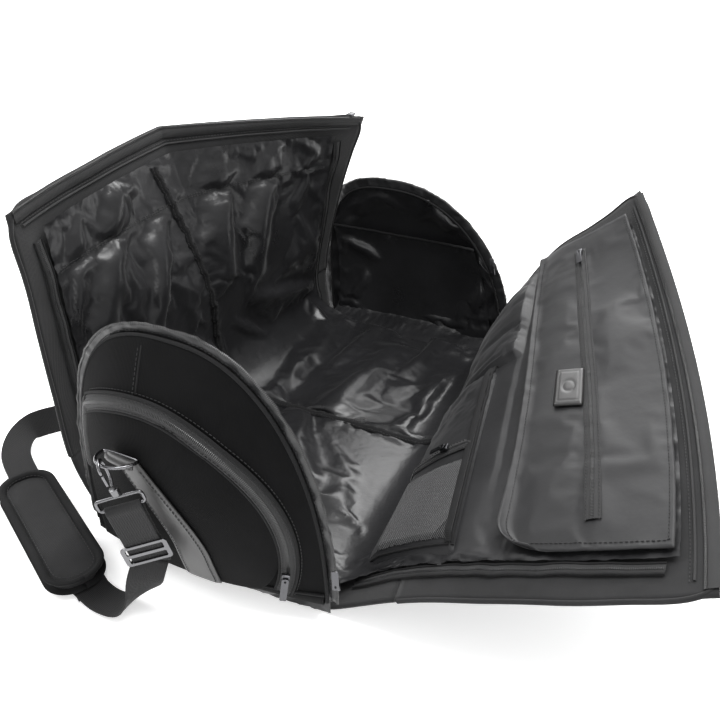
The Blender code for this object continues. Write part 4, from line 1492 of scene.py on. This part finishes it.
# %% garment flap
FLAP_U = (0.500, 0.922)
FLAP_V = (0.080, 0.950)
FLAP_LIFT = 0.0098
FLAP_CORNER = 0.10      # corner radius as a share of the flap's width
FLAP_ZIP_COLUMN = 30
FLAP_FOLDS = (
    ((0.340, 0.100), (0.370, -0.020), 0.024, 0.004),
    ((0.350, -0.030), (0.375, -0.140), 0.026, 0.004),
    ((0.350, -0.130), (0.385, -0.250), 0.028, 0.004),
    ((0.430, -0.040), (0.460, -0.200), 0.024, 0.003),
)


def flap_left_edge(v):
    """Where the free edge lies at this height: straight, with a round lower corner."""
    share = (v - FLAP_V[0]) / (FLAP_V[1] - FLAP_V[0])
    radius = 0.075
    if share >= radius:
        return FLAP_U[0] + 0.010 * math.sin(share * 5.0)
    inset = 1 - math.sqrt(max(0.0, 1 - (1 - share / radius) ** 2))
    return FLAP_U[0] + 0.010 * math.sin(share * 5.0) + FLAP_CORNER * inset


def flap_point(a, b, lift=0.0):
    """a from the free edge to the seam, b from the front to the rear."""
    v = FLAP_V[0] + (FLAP_V[1] - FLAP_V[0]) * b
    left = flap_left_edge(v)
    u = left + (FLAP_U[1] - left) * a
    curl = 0.012 * max(0.0, 1 - a / 0.10) ** 2 * (0.4 + 0.6 * max(0.0, 1 - b / 0.25))
    ease = 0.0014 * ripple(RIGHT.flat(u, v), 8.0, 17.0) * math.sin(math.pi * min(a * 1.1, 1.0))
    return RIGHT.at(u, v, FLAP_LIFT + curl + ease + 0.002 * math.sin(math.pi * a) + lift)


def build_flap():
    """The flap's cloth, which settles between its edges and the line of its zip."""
    bare = as_array([[flap_point(i / 64, j / 118) for i in range(65)] for j in range(119)])
    normals = grid_normals(bare, 2, 1)
    seams = edge_seams(bare)
    seams[:, FLAP_ZIP_COLUMN] = 1.0
    folds = ridge_heights(bare[..., 0], bare[..., 1], FLAP_FOLDS)
    laid = loose_cloth(bare, normals, seams, folds + 0.0010 * ripples(bare, 13.0, 50.0), 0.009,
                       (0.0008, 60.0), clear=0.014, grow=0.005, frames=14, bending=2.5)
    flap = piece_from("flap_satin", laid, SATIN_MATTE, "satin_lining")
    thicken(flap, 0.0012)
    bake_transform(flap)
    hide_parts("garment_flap")
    return laid, normals


FLAP_CLOTH, FLAP_NORMALS = build_flap()


def flap_route(cells, height):
    """Points over (row, column) cells of the flap; a column may lie between two."""
    points, normals = [], []
    for r, c in cells:
        left, share = int(c), c - int(c)
        normal = Vector(FLAP_NORMALS[r, left])
        spot = Vector(FLAP_CLOTH[r, left]).lerp(Vector(FLAP_CLOTH[r, min(left + 1, 64)]), share)
        points.append(spot + normal * height)
        normals.append(normal)
    return points, normals


def build_flap_details():
    """The flap's zip and the stitches along its hem."""
    cells = [(r, 29.4 + 8.6 * max(0.0, 1 - r / 84) ** 1.5) for r in range(8, 112)]
    route, normals = flap_route(cells, 0.0014)
    pieces = zip_pieces("flap_zip", route, normals, 0.017)
    whole = join("flap_zip_line", pieces)
    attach(whole, "flap")
    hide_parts("flap_zip_tape")
    hem_cells = ([(r, 62) for r in range(116, 2, -1)] + [(2, c) for c in range(62, 3, -1)]
                 + [(r, 3) for r in range(3, 116)])
    hem, hem_normals = flap_route(hem_cells, 0.0010)
    hem_line = stitches("flap_hem_stitches", hem, hem_normals, "satin_lining")
    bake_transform(hem_line)


build_flap_details()


# %% leather patch
def build_patch():
    """A thick stitched patch with an embossed ring, where a maker would set a mark."""
    columns, rows = 24, 34
    grid = []
    for j in range(rows + 1):
        row = []
        for i in range(columns + 1):
            a, b = i / columns, j / rows
            u = 0.612 + 0.080 * a
            v = 0.408 + 0.098 * b
            edge = min(a, 1 - a, (b if b < 0.5 else 1 - b) * 1.3)
            rise = 0.0022 * min(1.0, edge / 0.06) ** 0.5
            ring = math.hypot((a - 0.5) * 0.7, (b - 0.5))
            press = 0.0006 * math.exp(-((ring - 0.15) / 0.035) ** 2)
            groove = 0.0005 * math.exp(-((edge - 0.12) / 0.025) ** 2)
            row.append(RIGHT.at(u, v, FLAP_LIFT + 0.0048 + rise - press - groove))
        grid.append(row)
    patch = new_piece("patch", grid_mesh("patch", grid), LEATHER, "leather")
    thicken(patch, 0.0016, offset=-1.0)
    inset = [(3, i) for i in range(3, columns - 2)] + [(j, columns - 3) for j in range(4, rows - 2)]
    inset += [(rows - 3, i) for i in range(columns - 4, 2, -1)] + [(j, 3) for j in range(rows - 4, 2, -1)]
    points = [grid[j][i] + RIGHT.normal(0.65, 0.46) * 0.0004 for j, i in inset]
    normals = [RIGHT.normal(0.65, 0.46)] * len(points)
    whole = join("leather_patch_visual", [patch, stitches("thread", points, normals, "leather")])
    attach(whole, "flap")
    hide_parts("leather_patch")


build_patch()


# %% [markdown]
# ## Mesh pocket
#
# A low pocket stands at the foot of the right wing. Its front part is a real net: a lattice of thin
# strands over the dark inside. A zip runs across it, above the net there is satin, and its free
# edge is bound with tape.

# %% mesh pocket
POCKET_U = (0.045, 0.375)
POCKET_V = (0.085, 0.620)
POCKET_TOP = 0.0190
NET_V = (0.105, 0.300)
MESH_ZIP_V = 0.345


def pocket_height(a, b):
    """How far the pocket stands off: low at the floor side, full at the bound edge."""
    side = min(1.0, (1 - a) / 0.05) ** 0.5
    ends = min(1.0, b / 0.06, (1 - b) / 0.10) ** 0.5
    foot = min(1.0, 0.25 + a / 0.25)
    return 0.0042 + (POCKET_TOP - 0.0042) * max(0.05, side) * max(0.05, ends) * foot


def pocket_point(a, b, extra=0.0):
    """a from the floor side to the bound edge, b from the front to the rear."""
    u = POCKET_U[0] + (POCKET_U[1] - POCKET_U[0]) * a
    v = POCKET_V[0] + (POCKET_V[1] - POCKET_V[0]) * b
    return RIGHT.at(u, v, pocket_height(a, b) + extra)


def pocket_at(u, v, extra=0.0):
    """The same, from a place on the wing's surface."""
    return pocket_point((u - POCKET_U[0]) / (POCKET_U[1] - POCKET_U[0]),
                        (v - POCKET_V[0]) / (POCKET_V[1] - POCKET_V[0]), extra)


def build_pocket_cloth():
    """The pocket's satin, looser towards the rear, and its bound edges."""
    rows = []
    for j in range(85):
        b = j / 84
        row = []
        for i in range(41):
            a = i / 40
            loose = max(0.0, (b - 0.50)) * 2
            wave = loose * (0.0050 * ripple((a * 0.1, b * 0.3, 0), 40.0, 3.0)
                            + 0.004 * abs(ripple((a * 0.1, b * 0.3, 0), 95.0, 8.0)))
            row.append(pocket_point(a, b, wave))
        rows.append(row)
    cloth = new_piece("mesh_pocket_cloth", grid_mesh("cloth", rows), SATIN_MATTE, "satin_lining")
    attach(cloth, "right_wing_lower")
    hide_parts("mesh_pocket_gusset")
    bound = [rows[j][39] + RIGHT.normal(0.36, 0.3) * 0.0012 for j in range(2, 83)]
    foot = [rows[2][i] + RIGHT.normal(0.2, 0.1) * 0.0008 for i in range(1, 39)]
    edges = join("mesh_pocket_binding", [piping("cord", resample(bound, 0.003), 0.0021, BINDING),
                                         piping("cord", resample(foot, 0.003), 0.0013, BINDING)])
    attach(edges, "right_wing_lower")


NET_U = (0.062, 0.350)
NET_COUNT = 34          # strands that start on one side of the net, each way
NET_SLANT = 1.25        # how far along the net a strand gets while it crosses it
STRAND_HALF, STRAND_RISE = 0.0005, 0.0006


def net_strands():
    """Routes of the strands, half of them leaning each way."""
    strands = []
    for sign in (1, -1):
        for k in range(-NET_COUNT, 2 * NET_COUNT):
            line = []
            for step in range(73):
                a = step / 72
                b = k / NET_COUNT + NET_SLANT * (a if sign > 0 else 1 - a)
                if 0.0 <= b <= 1.0:
                    u = NET_U[0] + (NET_U[1] - NET_U[0]) * a
                    v = NET_V[0] + (NET_V[1] - NET_V[0]) * b
                    line.append(pocket_at(u, v, 0.0014))
            if len(line) > 1:
                strands.append(line)
    return strands


def build_net():
    """A diagonal lattice of strands, laid just above the pocket."""
    strands = net_strands()
    verts, faces = [], []
    for line in strands:
        normals = [RIGHT.normal(0.17, 0.2)] * len(line)
        start = len(verts)
        for point, (_, side, normal) in zip(line, path_frames(line, normals)):
            verts += [point - side * STRAND_HALF, point + normal * STRAND_RISE, point + side * STRAND_HALF]
        for i in range(len(line) - 1):
            for k in range(2):
                at = start + 3 * i + k
                faces.append((at, at + 1, at + 4, at + 3))
    mesh = bpy.data.meshes.new("net")
    mesh.from_pydata([tuple(v) for v in verts], [], faces)
    net = new_piece("mesh_pocket_lattice", mesh, NET, "net")
    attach(net, "right_wing_lower")
    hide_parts("mesh_pocket_net")
    print("net strands:", len(strands))


def build_mesh_zip():
    """The zip across the pocket and the tape along the pocket's high side."""
    spots = [(0.050 + 0.312 * i / 20, MESH_ZIP_V) for i in range(21)]
    route = resample([pocket_at(u, v, 0.0012) for u, v in spots], 0.003)
    normals = [RIGHT.normal(0.17, MESH_ZIP_V)] * len(route)
    whole = join("mesh_pocket_zip_line", zip_pieces("mesh_zip", route, normals, 0.019))
    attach(whole, "right_wing_lower")
    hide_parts("mesh_pocket_zip_tape")
    side = resample([pocket_at(0.356, v, 0.0014) for v in np.linspace(0.10, 0.60, 30)], 0.003)
    strip = band("mesh_pocket_side_tape", side, [RIGHT.normal(0.356, 0.3)] * len(side),
                 [(-0.0045, 0.0), (-0.004, 0.0009), (0.004, 0.0009), (0.0045, 0.0)], BINDING, "outer_fabric")
    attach(strip, "right_wing_lower")


build_pocket_cloth()
build_net()
build_mesh_zip()


# %% [markdown]
# ## Hooks, rings, sliders and tabs
#
# The metal parts are kept from the frame, which has them in their exact places. They get a plated
# finish, and a subdivision rounds their wires. The leather tab that holds the D-ring is rebuilt
# with stitched edges.

# %% metal from the frame
ENDS = ("front", "rear")
WIRES = [f"{end}_{part}" for end in ENDS for part in ("d_ring", "hook_bow", "hook_eye")]
MACHINED = [f"{end}_{part}" for end in ENDS for part in ("hook_barrel", "hook_gate")] + ["strap_slide"]
ZIPS = ("front_pocket", "front_main", "rear_main", "flap", "mesh_pocket")
ZIP_PARTS = [f"{name}_zip_{part}" for name in ZIPS for part in ("slider", "pull")] + ["left_zip_stop"]


def refinish(name, material, rounding=0, bevel=0.0):
    """Gives a frame node a finish, with its edges eased or its whole form rounded."""
    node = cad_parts[name]
    node.data.materials.clear()
    node.data.materials.append(material)
    node.modifiers.new("weld", "WELD").merge_threshold = 0.00002
    if bevel:
        edge = node.modifiers.new("edges", "BEVEL")
        edge.width = bevel
        edge.segments = 3
        edge.limit_method = "ANGLE"
        edge.angle_limit = math.radians(35)
    if rounding:
        rounded = node.modifiers.new("round", "SUBSURF")
        rounded.levels = rounding
        rounded.render_levels = rounding
    for polygon in node.data.polygons:
        polygon.use_smooth = True


for wire_name in WIRES:
    refinish(wire_name, GUNMETAL, rounding=2)
for part_name in MACHINED:
    refinish(part_name, GUNMETAL, bevel=0.0005)
for part_name in ZIP_PARTS:
    refinish(part_name, ZIP_METAL, bevel=0.0002)


# %% leather tabs
def build_tab(end, ride_on, foot_x, ring_x, out, foot_z, ring_z):
    """A leather strip up an end panel that turns over at the top to hold the ring."""
    rows = []
    for j in range(41):
        f = j / 40
        ease = max(0.0, (f - 0.30) / 0.70)
        x = foot_x + (ring_x - foot_x) * ease ** 1.8
        half = 0.0225 - 0.0035 * f
        z = foot_z + (ring_z - foot_z) * f
        row = []
        for i in range(19):
            a = -1 + 2 * i / 18
            dome = 0.0014 * (1 - abs(a) ** 6) - 0.0008 * math.exp(-((abs(a) - 0.86) / 0.05) ** 2)
            row.append(end.shown(x + half * a, z, out + dome))
        rows.append(row)
    for j in range(1, 9):
        angle = math.pi * j / 8
        row = []
        for i in range(19):
            a = -1 + 2 * i / 18
            turn = Vector((0.0, end.outward * 0.0050 * (1 - math.cos(angle)), 0.0060 * math.sin(angle)))
            row.append(rows[40][i] + turn)
        rows.append(row)
    tab = new_piece("tab", grid_mesh("tab", rows), LEATHER, "leather")
    thicken(tab, 0.0020)
    pieces = [tab]
    for side in (2, 16):
        points = [rows[j][side] + Vector((0, end.outward * 0.0014, 0)) for j in range(1, 40)]
        route = resample(points, 0.003)
        pieces.append(stitches("thread", route, [end.normal(ring_x, 0.10)] * len(route), "leather"))
    whole = join(f"{end.name}_leather_tab", pieces)
    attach(whole, ride_on)
    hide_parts(f"{end.name}_tab")


build_tab(FRONT, "front_end", 0.016, -0.045, 0.0176, 0.026, 0.186)
build_tab(REAR, "rear_end", 0.0, -0.0278, 0.0096, 0.006, 0.186)


# %% [markdown]
# ## Strap, pad and handles
#
# All of them are 38 mm webbing or narrower. The strap hangs doubled from each hook. From the slide
# it reaches the ground, goes under the pad, twists on its edge behind the left wing and climbs to
# the rear hook.

# %% webbing
WEB_HALF = 0.019
WEB_THICK = 0.0018


def smooth_route(points, spacing):
    """An evenly stepped smooth curve through the points."""
    dense = [spline(points, i / 240) for i in range(241)]
    return resample(dense, spacing)


def webbing(name, centres, sides, half=WEB_HALF, thick=WEB_THICK, spacing=0.004):
    """A flat strap through centre points; sides are vectors across it, one to each centre."""
    route = smooth_route(centres, spacing)
    count = len(route)
    across = [spline(sides, i / (count - 1)).normalized() for i in range(count)]
    rows = []
    for i, point in enumerate(route):
        along = (route[min(i + 1, count - 1)] - route[max(i - 1, 0)]).normalized()
        side = (across[i] - along * across[i].dot(along)).normalized()
        up = along.cross(side)
        rim = half - 0.0008
        outline = [(-rim, -1), (-half, 0), (-rim, 1), (-rim * 0.93, 0.8), (rim * 0.93, 0.8), (rim, 1),
                   (half, 0), (rim, -1), (rim * 0.93, -0.8), (-rim * 0.93, -0.8)]
        rows.append([point + side * a + up * (b * thick / 2) for a, b in outline])
    return new_piece(name, grid_mesh(name, rows, closed=True), WEBBING, "webbing")


def hook_frame(place, roll, yaw):
    """Where a hook hangs: tilted about Y, then turned about Z."""
    turn = Matrix.Rotation(yaw, 4, "Z") @ Matrix.Rotation(roll, 4, "Y")
    return Matrix.Translation(place) @ turn


FRONT_HOOK = hook_frame((-0.0450, -0.3950, 0.2110), math.radians(-14), math.radians(32))
REAR_HOOK = hook_frame((-0.0278, 0.3675, 0.1954), 0.0, math.pi)
EYE_BAR = -0.0565


def build_drop(end, frame_matrix, length):
    """Webbing doubled round the eye's bar and stitched together at its foot."""
    low = EYE_BAR - length
    back = [(0.0016, low), (0.0022, low + 0.02), (0.0030, EYE_BAR - 0.012), (0.0036, EYE_BAR - 0.003)]
    local = ([(0, y, z) for y, z in back] + [(0, 0.0, EYE_BAR + 0.0036)]
             + [(0, -y, z) for y, z in reversed(back)])
    centres = [frame_matrix @ Vector(p) for p in local]
    side = frame_matrix.to_3x3() @ Vector((1, 0, 0))
    drop = webbing(f"{end}_drop_webbing", centres, [side] * len(centres), spacing=0.0025)
    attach(drop, f"{end}_eye")
    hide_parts(f"{end}_strap_drop")


build_drop("front", FRONT_HOOK, 0.082)
build_drop("rear", REAR_HOOK, 0.064)


# %% the strap's three runs
def flat_sides(centres, tilts):
    """Side vectors for a strap on the ground, tilted up about its own length by an angle."""
    sides = []
    for i, tilt in enumerate(tilts):
        before, after = centres[max(i - 1, 0)], centres[min(i + 1, len(centres) - 1)]
        along = (after - before).normalized()
        level = Vector((-along.y, along.x, 0.0)).normalized()
        sides.append(level * math.cos(tilt) + Vector((0, 0, 1)) * math.sin(tilt))
    return sides


def build_front_run():
    """From the slide down to the pad's near end."""
    top = FRONT_HOOK @ Vector((0.0, 0.0, EYE_BAR - 0.074))
    across = FRONT_HOOK.to_3x3() @ Vector((1, 0, 0))
    centres = [top, top + Vector((-0.004, -0.010, -0.024)), Vector((-0.034, -0.388, 0.032)),
               Vector((-0.056, -0.393, 0.0095)), Vector((-0.084, -0.393, 0.0042)),
               Vector((-0.118, -0.384, 0.0040))]
    ground = flat_sides(centres, [0.0] * 6)
    sides = [across, across, (across - ground[2]).normalized(), -ground[3], -ground[4], -ground[5]]
    run = webbing("strap_front_run", centres, sides)
    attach(run, "base")
    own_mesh(run)


def build_ground_run():
    """Flat under the pad, on its edge where it twists, and flat again behind the bag."""
    plan = [(-0.100, -0.391), (-0.150, -0.364), (-0.209, -0.334), (-0.270, -0.302), (-0.325, -0.272),
            (-0.366, -0.244), (-0.380, -0.205), (-0.352, -0.168), (-0.318, -0.135), (-0.296, -0.075),
            (-0.290, 0.020), (-0.286, 0.120), (-0.272, 0.220), (-0.235, 0.305), (-0.165, 0.362),
            (-0.095, 0.390)]
    tilts = [math.radians(a) for a in (0, 0, 0, 0, 2, 14, 40, 62, 66, 58, 40, 18, 6, 0, 0, 0)]
    centres = [Vector((x, y, 0.0034 + WEB_HALF * math.sin(t) + 0.0048 * min(1.0, 4 * math.sin(t))))
               for (x, y), t in zip(plan, tilts)]
    run = webbing("strap_ground_run", centres, flat_sides(centres, tilts))
    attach(run, "base")
    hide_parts("strap_webbing")


def build_rear_run():
    """From the ground up to the rear hook's webbing."""
    foot = REAR_HOOK @ Vector((0.0, 0.0, EYE_BAR - 0.060))
    centres = [Vector((-0.105, 0.386, 0.0034)), Vector((-0.062, 0.398, 0.0075)),
               Vector((-0.026, 0.398, 0.030)), foot]
    ground = flat_sides(centres, [0.0] * 4)
    across = Vector((-1, 0, 0))
    sides = [ground[0], (ground[1] * 0.8 + across * 0.2).normalized(),
             (ground[2] * 0.3 + across).normalized(), across]
    run = webbing("strap_rear_run", centres, sides)
    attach(run, "base")
    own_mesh(run)


build_front_run()
build_ground_run()
build_rear_run()


# %% [markdown]
# ### Shoulder pad
#
# The pad starts as a flat round-ended slab. It is remeshed, blown up by a little cloth pressure as
# foam does under its cover, and then gets a bound edge and a row of stitches.

# %% shoulder pad
PAD_CENTRE = Vector((-0.212, -0.341, 0.0))
PAD_YAW = math.radians(-28)
PAD_SIZE = (0.226, 0.068)
PAD_LOW, PAD_HIGH = 0.0062, 0.0235
PAD_SWELL = 0.0028


def stadium(length, width, radius, steps=10):
    """The outline of a slab with round corners."""
    points = []
    for corner in range(4):
        sx = 1 if corner in (0, 3) else -1
        sy = 1 if corner in (0, 1) else -1
        for k in range(steps + 1):
            angle = math.radians(90 * corner + 90 * k / steps)
            points.append((sx * (length / 2 - radius) + radius * math.cos(angle),
                           sy * (width / 2 - radius) + radius * math.sin(angle)))
    return points


def pad_place(x, y, z):
    """From the pad's own place to the world."""
    return Matrix.Translation(PAD_CENTRE) @ Matrix.Rotation(PAD_YAW, 4, "Z") @ Vector((x, y, z))


def blown_pad():
    """A slab that is remeshed and swollen by cloth pressure, within a limit."""
    outline = stadium(PAD_SIZE[0] - 0.010, PAD_SIZE[1] - 0.010, 0.026)
    bm = bmesh.new()
    low = [bm.verts.new((x, y, PAD_LOW + 0.003)) for x, y in outline]
    high = [bm.verts.new((x, y, PAD_HIGH - 0.004)) for x, y in outline]
    bm.faces.new(reversed(low))
    bm.faces.new(high)
    for i in range(len(outline)):
        k = (i + 1) % len(outline)
        bm.faces.new((low[i], low[k], high[k], high[i]))
    mesh = bpy.data.meshes.new("pad")
    bm.to_mesh(mesh)
    bm.free()
    pad = new_piece("pad_body", mesh, PAD_CLOTH, "pad_fabric")
    remesh = pad.modifiers.new("remesh", "REMESH")
    remesh.mode = "VOXEL"
    remesh.voxel_size = 0.0035
    apply_modifiers(pad)
    cloth = pad.modifiers.new("cloth", "CLOTH")
    cloth.settings.quality = 4
    cloth.settings.use_pressure = True
    cloth.settings.uniform_pressure_force = 3.0
    cloth.settings.tension_stiffness = 25.0
    cloth.settings.bending_stiffness = 2.0
    cloth.settings.effector_weights.gravity = 0.0
    cloth.collision_settings.use_collision = False
    before = np.array([tuple(v.co) for v in pad.data.vertices])
    for frame_number in range(1, 13):
        bpy.context.scene.frame_set(frame_number)
    evaluated = pad.evaluated_get(bpy.context.evaluated_depsgraph_get())
    after = np.array([tuple(v.co) for v in evaluated.data.vertices])
    bpy.context.scene.frame_set(1)
    pad.modifiers.clear()
    change = after - before
    reach = np.linalg.norm(change, axis=1, keepdims=True)
    change *= np.minimum(1.0, PAD_SWELL / np.maximum(reach, 1e-9))
    placed = before + change
    placed[:, 2] = np.maximum(placed[:, 2], PAD_LOW)
    for vertex, co in zip(pad.data.vertices, placed):
        vertex.co = pad_place(*co)
    pad.data.shade_smooth()
    rounded = pad.modifiers.new("round", "SUBSURF")
    rounded.levels = rounded.render_levels = 1
    return apply_modifiers(pad)


def build_pad():
    """The pad, its bound edge and its row of stitches."""
    body = blown_pad()
    rim = [pad_place(x, y, (PAD_LOW + PAD_HIGH) / 2 + 0.0015)
           for x, y in stadium(PAD_SIZE[0] - 0.007, PAD_SIZE[1] - 0.007, 0.027)]
    rim.append(rim[0])
    up = [Vector((0, 0, 1))] * len(rim)
    half = 0.0052
    binding = band("binding", rim, up, [(-half, 0.0072), (-0.0005, 0.0078), (0.0036, 0.0055), (0.0044, 0.0),
                                        (0.0036, -0.0062), (-half, -0.0072)], BINDING, "pad_fabric")
    thicken(binding, 0.0011)
    inner = [pad_place(x, y, PAD_HIGH - 0.0002)
             for x, y in stadium(PAD_SIZE[0] - 0.020, PAD_SIZE[1] - 0.020, 0.021)]
    inner.append(inner[0])
    inner = resample(inner, 0.003)
    thread = stitches("thread", inner, [Vector((0, 0, 1))] * len(inner), "pad_fabric")
    cover = join("pad_binding", [binding, thread])
    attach(body, "pad")
    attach(cover, "pad")
    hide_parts("strap_pad")


build_pad()


# %% carry handles
def build_handle(name, wing, rides_on):
    """A webbing loop on the outside of a wing, sewn down at both ends."""
    half_span, anchor_u, reach = 0.16, 0.80, 0.17
    centres, sides = [], []
    for step in range(9):
        f = step / 8
        drop = reach * math.sin(math.pi * f) ** 0.7
        centres.append(wing.at(anchor_u - drop, 0.5 - half_span + 2 * half_span * f, -0.0052))
    for i in range(9):
        along = (centres[min(i + 1, 8)] - centres[max(i - 1, 0)]).normalized()
        sides.append(wing.normal(anchor_u - reach / 2, 0.5).cross(along).normalized())
    loop = webbing(f"{name}_handle_webbing", centres, sides, half=0.0125, thick=0.0024)
    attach(loop, rides_on)
    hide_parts(f"{name}_handle")


build_handle("left", LEFT, "left_grip")
build_handle("right", RIGHT, "right_grip")
